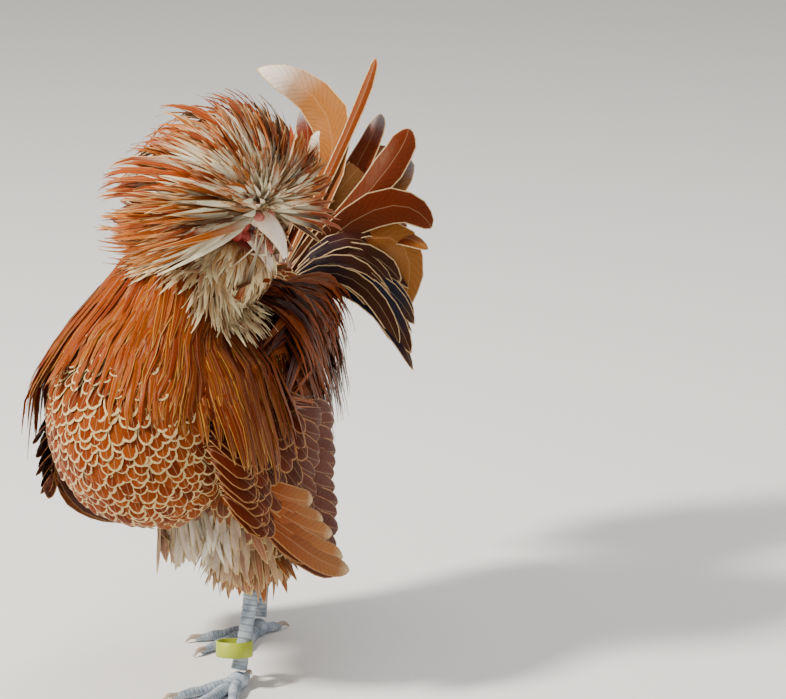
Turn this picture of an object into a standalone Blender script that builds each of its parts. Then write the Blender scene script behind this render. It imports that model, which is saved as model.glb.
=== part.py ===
# A life-size bearded Polish cock, standing with dropped wings, raised crest, turned head and open bill.
# Metres, +Z up. The cock faces -Y and its left side is +X. The last step stands it centred over the origin.
import math
import random

import bpy
import bmesh
import numpy as np
from mathutils import Matrix, Vector
from mathutils.bvhtree import BVHTree

# The gap that touching solids keep
GAP = 0.0003

# Stance: where each foot's pad stands before the last step, and the heights of hock and ankle
LEFT_PAD = Vector((0.052, -0.018, 0.0))
RIGHT_PAD = Vector((-0.002, 0.090, 0.0))
HOCK_HEIGHT = 0.084
BAND_INNER = 0.0126
ANKLE_HEIGHT = 0.013
SHANK_LEAN = 0.024

# Head: centre of the skull, and the way the bill points
SKULL = Vector((0.047, -0.005, 0.364))
HEAD_TURN = math.radians(79.0)
HEAD_DROP = math.radians(25.0)
SKULL_LENGTH = 0.054
SKULL_WIDTH = 0.037
SKULL_HEIGHT = 0.041
EYE_RADIUS = 0.0058
GAPE_ANGLE = math.radians(19.0)
TONGUE_DROP = GAPE_ANGLE * 0.75

# Torso sections from breast to tail: y, height of the middle, half width, half height above and below it
TORSO = [
    (-0.126, 0.212, 0.016, 0.020, 0.022),
    (-0.112, 0.212, 0.043, 0.050, 0.050),
    (-0.086, 0.213, 0.064, 0.073, 0.074),
    (-0.045, 0.216, 0.076, 0.084, 0.087),
    (0.000, 0.222, 0.078, 0.080, 0.084),
    (0.045, 0.234, 0.069, 0.063, 0.070),
    (0.085, 0.251, 0.050, 0.042, 0.050),
    (0.118, 0.268, 0.030, 0.026, 0.028),
]
TORSO_SIDES = 18
TORSO_RINGS = 13

# Neck: points along its middle and its half thickness there
NECK = [
    (Vector((0.002, -0.052, 0.236)), 0.056),
    (Vector((0.010, -0.036, 0.275)), 0.045),
    (Vector((0.020, -0.018, 0.308)), 0.034),
    (Vector((0.028, -0.006, 0.336)), 0.026),
    (Vector((0.034, 0.000, 0.358)), 0.020),
]

# Wing shell: where it bulges most, how fast it curves in along and up the body, and how it flares downwards
WING_BULGE = Vector((0.094, -0.030, 0.175))
RIGHT_WING_IN = 0.008
RIGHT_WING_UP = 0.014
WING_CURVE_ALONG = 0.6
WING_CURVE_UP = 2.0
WING_FLARE = 0.13
WING_ARM = [(-0.056, 0.262), (-0.070, 0.236), (-0.073, 0.196), (-0.064, 0.168), (-0.040, 0.158),
            (-0.012, 0.172), (0.006, 0.200), (0.008, 0.232), (-0.010, 0.258), (-0.036, 0.268)]
WING_THICKNESS = 0.008
WING_ROLL = math.radians(9)

# A feather: its thickness, where its stations lie along it and how wide it is there, for a round-ended flight
# feather, for a long one that tapers to a point and for a short lock
VANE_THICKNESS = 0.0009
FLIGHT_STOPS = (0.0, 0.36, 0.74, 0.94, 1.0)
FLIGHT_WIDTHS = (0.55, 0.95, 1.0, 0.62)
LANCE_STOPS = (0.0, 0.24, 0.50, 0.76, 1.0)
LANCE_WIDTHS = (0.40, 0.90, 1.0, 0.70)
LOCK_STOPS = (0.0, 0.32, 0.70, 1.0)
LOCK_WIDTHS = (0.45, 1.0, 0.80)

# Rows of wing feathers: roots, then tips, of the first and last, as places along and up the body, then how
# many, how wide and how far outside the shell they lie
WING_ROWS = [
    ((-0.058, 0.168), (-0.034, 0.162), (0.028, 0.083), (0.052, 0.083), 5, 0.018, -0.0066),
    ((-0.038, 0.166), (0.000, 0.224), (0.055, 0.098), (0.072, 0.200), 6, 0.028, -0.0034),
    ((-0.060, 0.178), (-0.006, 0.236), (-0.014, 0.108), (0.046, 0.208), 5, 0.030, 0.0004),
    ((-0.066, 0.196), (-0.026, 0.252), (-0.026, 0.140), (0.022, 0.222), 4, 0.027, 0.0038),
]

# Tail: where it leaves the rump, and its stump
TAIL_ROOT = Vector((0.0, 0.117, 0.270))
TAIL_STUMP = (0.024, 0.030, 0.018)

# Tail feathers: how many, tips of the first and last, width, how far their middle lies off the straight line
TAIL_FANS = [
    (3, (-0.092, 0.196, 0.362), (-0.066, 0.198, 0.431), 0.027, (0.0, -0.012, 0.010)),
    (1, (0.014, 0.250, 0.438), (0.014, 0.250, 0.438), 0.013, (0.0, -0.004, 0.008)),
    (4, (0.030, 0.246, 0.388), (0.060, 0.232, 0.304), 0.025, (0.0, -0.008, 0.014)),
    (3, (-0.092, 0.206, 0.322), (-0.030, 0.252, 0.372), 0.022, (0.0, 0.000, 0.026)),
    (4, (0.026, 0.250, 0.366), (0.062, 0.234, 0.286), 0.018, (0.0, 0.000, 0.030)),
    (4, (-0.094, 0.196, 0.268), (-0.062, 0.246, 0.330), 0.016, (0.0, -0.004, 0.050)),
    (4, (0.048, 0.232, 0.286), (0.084, 0.180, 0.216), 0.018, (0.004, -0.004, 0.050)),
]

# Saddle feathers, row by row: where the first and last root and the first and last tip lie along the body,
# the tips' height, how many a side and how wide
SADDLE_ROWS = [
    (0.034, 0.098, 0.064, 0.134, 0.172, 4, 0.017),
    (0.012, 0.074, 0.054, 0.118, 0.200, 4, 0.017),
]
SADDLE_ROLL = math.radians(12)

# Hackle: half widths of the bell that it hangs as, by height, and the rows: height of roots and tips, count
BELL = [(0.150, 0.104), (0.200, 0.099), (0.225, 0.094), (0.245, 0.086), (0.280, 0.068), (0.310, 0.050),
        (0.350, 0.030)]
HACKLE_ROWS = [(0.280, 0.186, 15), (0.300, 0.212, 11), (0.318, 0.242, 8)]
THROAT = Vector((0.80, -0.60, 0.0))
HACKLE_WIDTH = 0.0215
HACKLE_ROLL = math.radians(8)

# Crest: how far it reaches over the top, to the sides and back and over the forehead, how far its outer
# feathers lean at the sides, and how much more they lean at the back and less over the face
CREST_TOP = 0.060
CREST_SIDE = 0.096
CREST_BACK = 0.114
CREST_FRONT = 0.050
CREST_DROOP = 0.34
CREST_COUNT = 46
CREST_WIDTH = 0.0165
CREST_ROLL = math.radians(24)
CREST_CORE = (0.036, 0.037, 0.029)
CREST_LEAN = 98
CREST_LEAN_CHANGE = 24
GOLDEN_TURN = math.pi * (3 - math.sqrt(5))
FACE_ROOM = (0.046, 0.052, 0.046)

# Beard and muffs: the core, the cheeks, and the rows of locks: how many, how long and how far in they start
BEARD_CORE = (0.024, 0.029, 0.028)
CHEEK = (0.015, 0.012, 0.015)
BEARD_ROWS = [(10, 0.066, 0.0), (8, 0.057, 0.003), (6, 0.044, 0.006)]
BEARD_WIDTH = 0.0125
BEARD_ROLL = math.radians(14)
BEARD_SPREAD = math.radians(92)

# Bare face: the ball behind the bill, the ear lobes, and the ring of skin round each eye
FACE_BALL = (0.0105, 0.0125, 0.0125)
EAR_LOBE = (0.0055, 0.0035, 0.0060)
LID_OUT = 0.0022
LID_THICKNESS = 0.0013
LID_STEPS = 9
LID_SIDES = 5

# Bill: rings as distance along it, top and bottom height and half width, and where each half is hinged
UPPER_BILL = [(0.000, 0.0085, -0.0040, 0.0098), (0.010, 0.0095, -0.0042, 0.0090),
              (0.018, 0.0080, -0.0045, 0.0076), (0.026, 0.0040, -0.0062, 0.0058),
              (0.032, -0.0012, -0.0088, 0.0038), (0.0365, -0.0070, -0.0122, 0.0018)]
LOWER_BILL = [(0.000, 0.0000, -0.0080, 0.0085), (0.008, 0.0000, -0.0074, 0.0080),
              (0.016, -0.0005, -0.0066, 0.0070), (0.024, -0.0020, -0.0062, 0.0054),
              (0.031, -0.0044, -0.0070, 0.0030), (0.034, -0.0060, -0.0076, 0.0014)]
TONGUE = [(0.003, 0.0030, -0.0008, 0.0040), (0.012, 0.0026, -0.0006, 0.0036),
          (0.020, 0.0016, -0.0008, 0.0028), (0.026, -0.0002, -0.0016, 0.0014)]
UPPER_HINGE = (0.0225, 0.0035)
LOWER_HINGE = (0.0215, -0.0045)
TONGUE_HINGE = (0.0215, -0.0029)
BILL_SIDES = 12

# Feet: each toe's angle from straight ahead and length, the radii and heights along it, and the pad
TOES = [(-26, 0.046), (4, 0.058), (34, 0.050), (172, 0.021)]
TOE_STOPS = (0.0, 0.35, 0.7, 1.0)
TOE_RADII = (0.0052, 0.0046, 0.0040, 0.0030)
TOE_HEIGHTS = (0.0052, 0.0048, 0.0038, 0.0034)
CLAW_RADII = (0.0028, 0.0022, 0.0007)
PAD_RADII = (0.0078, 0.0095, 0.0068)
SOLE_CUT = 0.0006

# Leg band: wall thickness, half height and steps round it
BAND_WALL = 0.0014
BAND_HALF = 0.0060
BAND_STEPS = 20

BUFF = (0.72, 0.36, 0.12)
RUFOUS = (0.42, 0.13, 0.03)
HACKLE_ORANGE = (0.76, 0.22, 0.03)
CREAM = (0.88, 0.78, 0.60)
HORN = (0.86, 0.74, 0.66)
SLATE = (0.50, 0.56, 0.62)
FACE_RED = (0.62, 0.10, 0.08)
BAND_YELLOW = (0.80, 0.90, 0.06)


def clear_scene():
    for obj in list(bpy.data.objects):
        bpy.data.objects.remove(obj)


def finish_of(name, colour, roughness):
    material = bpy.data.materials.new(name)
    material.use_nodes = True
    shader = material.node_tree.nodes["Principled BSDF"]
    shader.inputs["Base Color"].default_value = (*colour, 1.0)
    shader.inputs["Roughness"].default_value = roughness
    shader.inputs["Metallic"].default_value = 0.0
    return material


def add_object(name, bm, material=None):
    bmesh.ops.triangulate(bm, faces=bm.faces)
    bmesh.ops.recalc_face_normals(bm, faces=bm.faces)
    mesh = bpy.data.meshes.new(name)
    bm.to_mesh(mesh)
    bm.free()
    obj = bpy.data.objects.new(name, mesh)
    bird.objects.link(obj)
    if material:
        mesh.materials.append(material)
    return obj


def smooth_rows(rows, count):
    """Rows of numbers read at count even steps along a Catmull-Rom curve through them."""
    table = np.array(rows, float)
    out = []
    for at in np.linspace(0, len(table) - 1, count):
        i = min(int(at), len(table) - 2)
        t = at - i
        before, after = table[max(i - 1, 0)], table[min(i + 2, len(table) - 1)]
        a, b = table[i], table[i + 1]
        out.append(0.5 * (2 * a + (b - before) * t + (2 * before - 5 * a + 4 * b - after) * t**2
                          + (3 * a - before - 3 * b + after) * t**3))
    return out


def loft(name, rings, material=None):
    """A closed solid between rings of equal count, with flat ends."""
    bm = bmesh.new()
    rows = [[bm.verts.new(p) for p in ring] for ring in rings]
    count = len(rows[0])
    for low, high in zip(rows, rows[1:]):
        for i in range(count):
            j = (i + 1) % count
            bm.faces.new((low[i], low[j], high[j], high[i]))
    for row in (rows[0], rows[-1]):
        bm.faces.new(row)
    return add_object(name, bm, material)


def ring_round(centre, side, up, half_width, half_up, half_down, count):
    """Points of an egg-shaped section in the plane of side and up."""
    points = []
    for i in range(count):
        angle = 2 * math.pi * i / count
        rise = math.sin(angle)
        reach = half_up if rise > 0 else half_down
        points.append(centre + side * (half_width * math.cos(angle)) + up * (reach * rise))
    return points


def tube(name, points, radii, sides, material=None):
    """A round tube through the points, each ring square to the path."""
    rings = []
    side = (points[1] - points[0]).orthogonal().normalized()
    for i, point in enumerate(points):
        way = (points[min(i + 1, len(points) - 1)] - points[max(i - 1, 0)]).normalized()
        side = (side - way * side.dot(way)).normalized()
        up = side.cross(way).normalized()
        rings.append(ring_round(point, side, up, radii[i], radii[i], radii[i], sides))
    return loft(name, rings, material)


def ball(name, centre, axes, radii, segments=16, rings=10, material=None):
    """An ellipsoid with its half sizes along three axes."""
    bm = bmesh.new()
    bmesh.ops.create_uvsphere(bm, u_segments=segments, v_segments=rings, radius=1.0)
    frame = Matrix((axes[0] * radii[0], axes[1] * radii[1], axes[2] * radii[2])).transposed().to_4x4()
    bmesh.ops.transform(bm, matrix=Matrix.Translation(centre) @ frame, verts=bm.verts)
    return add_object(name, bm, material)


def settle(obj):
    """Applies an object's modifiers to its mesh."""
    graph = bpy.context.evaluated_depsgraph_get()
    mesh = bpy.data.meshes.new_from_object(obj.evaluated_get(graph), depsgraph=graph)
    obj.modifiers.clear()
    obj.data = mesh


def volume_of(triangles):
    """Six times the volume that closed triangles hold."""
    return abs(sum(a.co.dot(b.co.cross(c.co)) for a, b, c in (face.verts for face in triangles)))


def keep_largest(obj):
    """Keeps the closed surface with the largest volume."""
    bm = bmesh.new()
    bm.from_mesh(obj.data)
    bmesh.ops.triangulate(bm, faces=bm.faces)
    left = set(bm.faces)
    groups = []
    while left:
        stack = [left.pop()]
        group = set(stack)
        while stack:
            edges = [edge for edge in stack.pop().edges if len(edge.link_faces) == 2]
            near = [face for edge in edges for face in edge.link_faces]
            for face in left.intersection(near):
                left.remove(face)
                group.add(face)
                stack.append(face)
        groups.append(group)
    biggest = max(groups, key=volume_of)
    bmesh.ops.delete(bm, geom=[face for face in bm.faces if face not in biggest], context="FACES")
    bm.to_mesh(obj.data)
    bm.free()


def fuse(obj, pieces):
    """Joins pieces to obj in one union and notes them all for the cutters of other nodes."""
    made_of.setdefault(obj.name, [obj.data.copy()]).extend(piece.data.copy() for piece in pieces)
    helpers = bpy.data.collections.new(obj.name + "_pieces")
    bpy.context.scene.collection.children.link(helpers)
    for piece in pieces:
        bird.objects.unlink(piece)
        helpers.objects.link(piece)
    union = obj.modifiers.new("union", "BOOLEAN")
    union.operation = "UNION"
    union.operand_type = "COLLECTION"
    union.collection = helpers
    union.solver = "MANIFOLD"
    settle(obj)
    for piece in pieces:
        bpy.data.objects.remove(piece)
    bpy.data.collections.remove(helpers)
    keep_largest(obj)
    return obj


def box_of(mesh):
    corners = np.array([v.co for v in mesh.vertices])
    return corners.min(axis=0), corners.max(axis=0)


def meet(one, other):
    """Whether the boxes of two meshes come within a gap of each other."""
    low, high = box_of(one)
    other_low, other_high = box_of(other)
    return bool(np.all(low < other_high + 2 * GAP) and np.all(other_low < high + 2 * GAP))


def grown(mesh, by):
    """A hidden object like the mesh, thicker by the given distance all round."""
    bm = bmesh.new()
    bm.from_mesh(mesh)
    bm.normal_update()
    moves = [v.normal * by * min(v.calc_shell_factor(), 2.5) for v in bm.verts]
    for vert, move in zip(bm.verts, moves):
        vert.co += move
    copy = add_object("grown", bm)
    copy.hide_render = True
    copy.display_type = "WIRE"
    return copy


def tree_of(mesh):
    bm = bmesh.new()
    bm.from_mesh(mesh)
    tree = BVHTree.FromBMesh(bm)
    bm.free()
    return tree


def trim(obj, others, whole=True):
    """Cuts obj back so that it stays a gap away from every piece of the others, where a thin feather cuts
    only if it crosses obj. A whole node keeps one surface."""
    tree = tree_of(obj.data)
    for other in others:
        if not meet(obj.data, other.data):
            continue
        for mesh in made_of[other.name]:
            if not meet(obj.data, mesh):
                continue
            thin = mesh.name.startswith("vane")
            cutter = grown(mesh, GAP * (1.7 if thin else 1.15))
            if not thin or tree.overlap(tree_of(cutter.data)):
                gap = obj.modifiers.new("gap", "BOOLEAN")
                gap.operation = "DIFFERENCE"
                gap.object = cutter
                gap.solver = "MANIFOLD"
                settle(obj)
            bpy.data.objects.remove(cutter)
    if whole:
        keep_largest(obj)
    return obj


def place(obj):
    """Trims obj by every node placed before it, then places it."""
    made_of.setdefault(obj.name, [obj.data.copy()])
    placed.append(trim(obj, list(placed)))
    return obj


def head_axes():
    """Forward, left and up of the head."""
    level = Vector((math.sin(HEAD_TURN), -math.cos(HEAD_TURN), 0))
    left = Vector((0, 0, 1)).cross(level)
    forward = level * math.cos(HEAD_DROP) - Vector((0, 0, math.sin(HEAD_DROP)))
    return forward, left, forward.cross(left)


def in_head(forward, left, up):
    """A point given along the head's own axes from the middle of the skull."""
    f, s, u = head_axes()
    return SKULL + f * forward + s * left + u * up


def make_torso(material):
    rings = []
    for y, middle, half_width, above, below in smooth_rows(TORSO, TORSO_RINGS):
        rings.append(ring_round(Vector((0, y, middle)), Vector((1, 0, 0)), Vector((0, 0, 1)),
                                half_width, above, below, TORSO_SIDES))
    return loft("torso", rings, material)


def neck_line(count):
    rows = smooth_rows([(*point, radius) for point, radius in NECK], count)
    return [Vector(row[:3]) for row in rows], [row[3] for row in rows]


def make_neck(material):
    points, radii = neck_line(7)
    return tube("neck", points, radii, 14, material)


def wing_shell(side, y, z, outward=0.0):
    """A point on the wing's outer curve, or beside it."""
    rise = z - WING_BULGE.z
    curve = WING_CURVE_UP if rise > 0 else 0.0
    x = WING_BULGE.x + outward - WING_FLARE * rise
    x -= WING_CURVE_ALONG * (y - WING_BULGE.y) ** 2 + curve * rise**2
    return Vector((side * x, y, z)) if side > 0 else Vector((RIGHT_WING_IN - x, y, z))


def wing_normal(side, y, z):
    along = wing_shell(side, y + 0.001, z) - wing_shell(side, y, z)
    up = wing_shell(side, y, z + 0.001) - wing_shell(side, y, z)
    return (along.cross(up) * side).normalized()


def make_wing_arm(side, name, material):
    """The feathered arm of the folded wing, one curved plate that its flight feathers grow from."""
    outline = [row for row in smooth_rows(WING_ARM + WING_ARM[:1], 25)][:-1]
    middle = np.mean(outline, axis=0)
    bm = bmesh.new()
    skins = []
    for inward in (0.0, WING_THICKNESS):
        rings = []
        for share in (1.0, 0.55):
            rings.append([bm.verts.new(wing_shell(side, *(middle + (p - middle) * share), -inward))
                          for p in outline])
        centre = bm.verts.new(wing_shell(side, *middle, -inward))
        count = len(outline)
        for low, high in zip(rings, rings[1:]):
            for i in range(count):
                bm.faces.new((low[i], low[(i + 1) % count], high[(i + 1) % count], high[i]))
        for i in range(count):
            bm.faces.new((rings[-1][i], rings[-1][(i + 1) % count], centre))
        skins.append(rings[0])
    for i in range(len(outline)):
        j = (i + 1) % len(outline)
        bm.faces.new((skins[0][i], skins[1][i], skins[1][j], skins[0][j]))
    return add_object(name, bm, material)


def make_wing(side, name, material):
    """The arm with its rows of primaries, secondaries and coverts."""
    draw = random.Random(11 + side)
    pieces = []
    for first_root, last_root, first_tip, last_tip, count, width, outward in WING_ROWS:
        for i in range(count):
            share = i / (count - 1)
            root = Vector(first_root).lerp(Vector(last_root), share)
            tip = Vector(first_tip).lerp(Vector(last_tip), share)
            tip += Vector((draw.uniform(-0.003, 0.003), draw.uniform(-0.003, 0.003)))
            if side < 0:
                tip.y += RIGHT_WING_UP
            sag = Vector((tip.y - root.y, root.x - tip.x)) * 0.06
            path = []
            looks = []
            for t in FLIGHT_STOPS:
                spot = root.lerp(tip, t) + sag * (4 * t * (1 - t))
                lift = -0.0034 + (outward + 0.0034) * min(t / 0.36, 1.0)
                path.append(wing_shell(side, *spot, lift))
                looks.append(wing_normal(side, *spot))
            width_here = width * draw.uniform(0.94, 1.06)
            pieces.append(vane(path, width_here, FLIGHT_WIDTHS, looks, side * WING_ROLL))
    return fuse(make_wing_arm(side, name, material), pieces)


def vane(path, width, shares, looks, roll=0.0, thickness=VANE_THICKNESS):
    """A thin feather along a path. Its width is a share of the full one at each station. It looks outward,
    turned about its own length by roll, so that the feathers of a row can lie over one another."""
    bm = bmesh.new()
    rows = []
    for i, share in enumerate(shares):
        way = (path[i + 1] - path[max(i - 1, 0)]).normalized()
        side = Matrix.Rotation(roll, 3, way) @ way.cross(looks[i]).normalized()
        rise = side.cross(way) * (thickness / 2)
        half = side * (width * share / 2)
        corners = [path[i] + across + over for over in (rise, -rise) for across in (half, -half)]
        rows.append([bm.verts.new(corner) for corner in corners])
    tip = bm.verts.new(path[-1])
    a, b, c, d = rows[0]
    bm.faces.new((a, c, d))
    bm.faces.new((a, d, b))
    for (a, b, c, d), (e, f, g, h) in zip(rows, rows[1:]):
        faces = (a, b, f), (a, f, e), (c, h, d), (c, g, h), (a, e, g), (a, g, c), (b, d, h), (b, h, f)
        for corners in faces:
            bm.faces.new(corners)
    a, b, c, d = rows[-1]
    for corners in ((a, b, tip), (b, d, tip), (d, c, tip), (c, a, tip)):
        bm.faces.new(corners)
    return add_object("vane", bm)


def curved(root, middle, tip, stops):
    """Places along an even curve that leaves root towards middle and ends in tip."""
    return [root * (1 - t) ** 2 + middle * (2 * t * (1 - t)) + tip * t**2 for t in stops]


def lifted(path, trees, clear, keep=1):
    """The path with all but its first points pushed outside of the trees."""
    out = list(path)
    for _ in range(2):
        for i in range(keep, len(out)):
            for tree in trees:
                spot, normal, _, _ = tree.find_nearest(out[i])
                depth = (out[i] - spot).dot(normal)
                if depth < clear and (out[i] - spot).length < 0.06:
                    out[i] = spot + normal * clear
    return out


def make_tail(material):
    """The stump with its fan, sickles and coverts."""
    draw = random.Random(5)
    axes = (Vector((1, 0, 0)), Vector((0, 0.8, 0.6)), Vector((0, -0.6, 0.8)))
    stump = ball("tail", TAIL_ROOT + Vector((0, 0.012, 0.008)), axes, TAIL_STUMP, 14, 9, material)
    pieces = []
    for count, first, last, width, bulge in TAIL_FANS:
        for i in range(count):
            share = i / max(count - 1, 1)
            tip = Vector(first).lerp(Vector(last), share)
            tip += Vector([draw.uniform(-0.005, 0.005) for _ in range(3)])
            out = (tip - TAIL_ROOT).normalized()
            root = TAIL_ROOT + Vector((tip.x * 0.10, 0.006, 0.010)) + out * 0.006
            middle = root.lerp(tip, 0.55) + Vector(bulge) + Vector((tip.x * 0.12, 0, 0))
            path = curved(root, middle, tip, FLIGHT_STOPS)
            broad = Vector((tip.x * 6, -0.75, 0.45)).normalized()
            spread = Vector((math.copysign(0.6, tip.x), -0.1, 0.7))
            looks = [broad.lerp(spread, t * 0.5) for t in FLIGHT_STOPS]
            pieces.append(vane(path, width * draw.uniform(0.92, 1.08), FLIGHT_WIDTHS, looks))
    return fuse(stump, pieces)


def add_saddle(torso, *clear):
    """Long pointed feathers from the back, hanging over the flanks behind the wings."""
    draw = random.Random(8)
    trees = [tree_of(obj.data) for obj in (torso, *clear)]
    pieces = []
    for row, (start, end, first_tip, last_tip, height, count, width) in enumerate(SADDLE_ROWS):
        for side in (1, -1):
            for i in range(count):
                share = i / (count - 1)
                y = start + (end - start) * share
                root = Vector((side * (0.040 - 0.018 * share), y, 0.290))
                spot, normal, _, _ = trees[0].find_nearest(root)
                root = spot - normal * 0.003
                tip_y = first_tip + (last_tip - first_tip) * share + draw.uniform(-0.004, 0.004)
                tip_z = height + 0.02 * share + draw.uniform(-0.006, 0.006)
                tip = Vector((side * (0.082 - 0.026 * share), tip_y, tip_z))
                middle = root.lerp(tip, 0.5) + Vector((side * 0.022, 0.004, 0.022))
                path = lifted(curved(root, middle, tip, LANCE_STOPS), trees, 0.0024 + 0.0042 * row)
                looks = [trees[0].find_nearest(p)[1] for p in path]
                width_here = width * draw.uniform(0.9, 1.1)
                pieces.append(vane(path, width_here, LANCE_WIDTHS, looks, side * SADDLE_ROLL))
    return fuse(torso, [trim(piece, clear, whole=False) for piece in pieces])


def bell_radius(height):
    heights, widths = zip(*BELL)
    return float(np.interp(height, heights, widths))


def neck_middle(height):
    """The middle of the neck at a height, or below its root, and its half thickness."""
    points, radii = neck_line(30)
    heights = [p.z for p in points]
    return Vector([float(np.interp(height, heights, [p[k] for p in points])) for k in range(3)]), \
        float(np.interp(height, heights, radii))


def add_hackle(neck, *clear):
    """Rows of long pointed feathers that hang from the neck as an open bell."""
    draw = random.Random(21)
    trees = [tree_of(obj.data) for obj in clear]
    pieces = []
    for row, (root_height, tip_height, count) in enumerate(HACKLE_ROWS):
        for i in range(count):
            angle = 2 * math.pi * (i + 0.5 * (row % 2) + draw.uniform(-0.15, 0.15)) / count
            out = Vector((math.cos(angle), math.sin(angle), 0))
            front = max(0.0, out.dot(THROAT)) ** 2
            low = tip_height + 0.022 * max(0.0, out.y) + draw.uniform(-0.010, 0.010)
            high = root_height - 0.034 * front
            path = []
            for t in LANCE_STOPS:
                height = high + (low - high) * t**1.15
                centre, radius = neck_middle(height)
                wide = bell_radius(height) - 0.005 * (2 - row) - 0.022 * front
                spread = min(1.0, t / 0.45) ** 0.8
                reach = (radius - 0.004) + (wide - radius + 0.004) * spread - (0.004 if t > 0.8 else 0.0)
                path.append(Vector((centre.x * (1 - 0.7 * spread), centre.y, height)) + out * reach)
            path = lifted(path, trees, 0.0045 + 0.0032 * row)
            looks = [(out + Vector((0, 0, 0.55))).normalized()] * len(path)
            width = HACKLE_WIDTH * draw.uniform(0.88, 1.1)
            pieces.append(vane(path, width, LANCE_WIDTHS, looks, HACKLE_ROLL))
    return fuse(neck, pieces)


def make_crest(material):
    """A core over the skull with long feathers spreading from it in every direction, clear of the face."""
    draw = random.Random(33)
    forward, left, up = head_axes()
    core = ball("crest", in_head(-0.004, 0, 0.012), (forward, left, up), CREST_CORE, 12, 8, material)
    face = ball("face_room", in_head(0.002, 0, -0.030), (forward, left, up), FACE_ROOM, 24, 16)
    trees = [tree_of(face.data)]
    bpy.data.objects.remove(face)
    hub = in_head(-0.002, 0, 0.004)
    pieces = []
    for i in range(CREST_COUNT):
        turn = i * GOLDEN_TURN
        facing = math.cos(turn)
        widest = math.radians(CREST_LEAN - CREST_LEAN_CHANGE * facing)
        lean = math.acos(1 - (i + 0.5) / CREST_COUNT * (1 - math.cos(widest)))
        flat = forward * facing + left * math.sin(turn)
        way = up * math.cos(lean) + flat * math.sin(lean)
        sideways = (CREST_FRONT if facing > 0 else CREST_BACK) * facing**2 + CREST_SIDE * (1 - facing**2)
        length = CREST_TOP + (sideways - CREST_TOP) * math.sin(lean) ** 1.5
        length *= draw.uniform(0.90, 1.06)
        root = hub + way * 0.030
        tip = hub + way * length - Vector((0, 0, CREST_DROOP * length * math.sin(lean) ** 4))
        middle = root.lerp(tip, 0.5) + up * (0.10 * length * math.sin(lean)) + flat * 0.004
        path = lifted(curved(root, middle, tip, LOCK_STOPS), trees, 0.003)
        looks = [(up * math.sin(lean) - flat * math.cos(lean)).normalized()] * len(path)
        roll = CREST_ROLL * draw.uniform(0.6, 1.4)
        pieces.append(vane(path, CREST_WIDTH * draw.uniform(0.85, 1.15), LOCK_WIDTHS, looks, roll))
    return fuse(core, pieces)


def make_beard(material, neck_tree):
    """Muffs on both cheeks and a full beard under the bill, in three rows."""
    draw = random.Random(17)
    forward, left, up = head_axes()
    down = Vector((0, 0, -1))
    core = ball("beard", in_head(0.008, 0, -0.014) + down * 0.026, (forward, left, up), BEARD_CORE,
                11, 7, material)
    axes = (forward, left, up)
    cheeks = [ball("cheek", in_head(-0.004, side * 0.015, -0.010), axes, CHEEK, 9, 6)
              for side in (1, -1)]
    pieces = []
    for row, (count, length, inward) in enumerate(BEARD_ROWS):
        for i in range(count):
            around = -1 + 2 * (i + 0.5) / count + draw.uniform(-0.05, 0.05)
            across = math.sin(around * BEARD_SPREAD)
            outer = abs(around)
            root = in_head(0.010 - 0.022 * outer, 0.018 * across, -0.020 + 0.014 * outer + inward)
            way = (forward * (0.30 - 0.9 * outer) + left * (across * (1.15 - 0.144 * row))
                   + down * (1.1 - 0.70 * outer) + up * 0.10 * row).normalized()
            reach = length * (1.30 - 0.30 * outer) * draw.uniform(0.88, 1.08)
            tip = root + way * reach + down * reach * 0.16
            middle = root.lerp(tip, 0.5) + (forward * 0.6 - down * 0.3) * (0.006 + 0.004 * row)
            path = lifted(curved(root, middle, tip, LOCK_STOPS), [neck_tree], 0.014, keep=2)
            out = (forward * (1 - outer) + left * across + up * 0.2).normalized()
            looks = [out] * len(path)
            pieces.append(vane(path, BEARD_WIDTH * draw.uniform(0.85, 1.15), LOCK_WIDTHS, looks, BEARD_ROLL))
    return fuse(core, cheeks + pieces)


def leg_points(pad, side):
    """Hock, ankle and hip of a leg."""
    ankle = pad + Vector((0, 0.004, ANKLE_HEIGHT))
    hock = pad + Vector((side * 0.002, SHANK_LEAN, HOCK_HEIGHT))
    hip = Vector((side * 0.040, 0.022, 0.185))
    return hip, hock, ankle


def make_thigh(name, pad, side, material):
    hip, hock, _ = leg_points(pad, side)
    knee = hip.lerp(hock, 0.35) + Vector((side * 0.006, -0.016, 0.0))
    low = hip.lerp(hock, 0.75) + Vector((0, -0.004, 0))
    points = [Vector(r) for r in smooth_rows([hip, knee, low, hock - Vector((0, 0.001, 0.006))], 8)]
    radii = [r[0] for r in smooth_rows([(0.034,), (0.038,), (0.024,), (0.0110,)], 8)]
    return tube(name, points, radii, 12, material)


def make_shank(name, pad, side, material):
    _, hock, ankle = leg_points(pad, side)
    points = [hock.lerp(ankle, t) for t in (0.16, 0.3, 0.5, 0.75, 0.93)]
    radii = [0.0062, 0.0056, 0.0050, 0.0052, 0.0060]
    shank = tube(name, points, radii, 10, material)
    spur_root = hock.lerp(ankle, 0.46) + Vector((-side * 0.002, 0.002, 0))
    spur = [spur_root, spur_root + Vector((-side * 0.006, 0.007, 0.000)),
            spur_root + Vector((-side * 0.009, 0.012, 0.002))]
    return fuse(shank, [tube(name + "_spur", spur, [0.0030, 0.0024, 0.0008], 8)])


def make_toe(name, root, way, length):
    """A toe and its claw."""
    points = [root + way * (length * t) for t in TOE_STOPS]
    for point, height in zip(points, TOE_HEIGHTS):
        point.z = height
    claw = [points[-1] + way * along for along in (-0.003, 0.004, 0.0095)]
    claw[1].z += 0.0016
    claw[2].z -= 0.0012
    return [tube(name + "_toe", points, TOE_RADII, 6), tube(name + "_claw", claw, CLAW_RADII, 6)]


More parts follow.
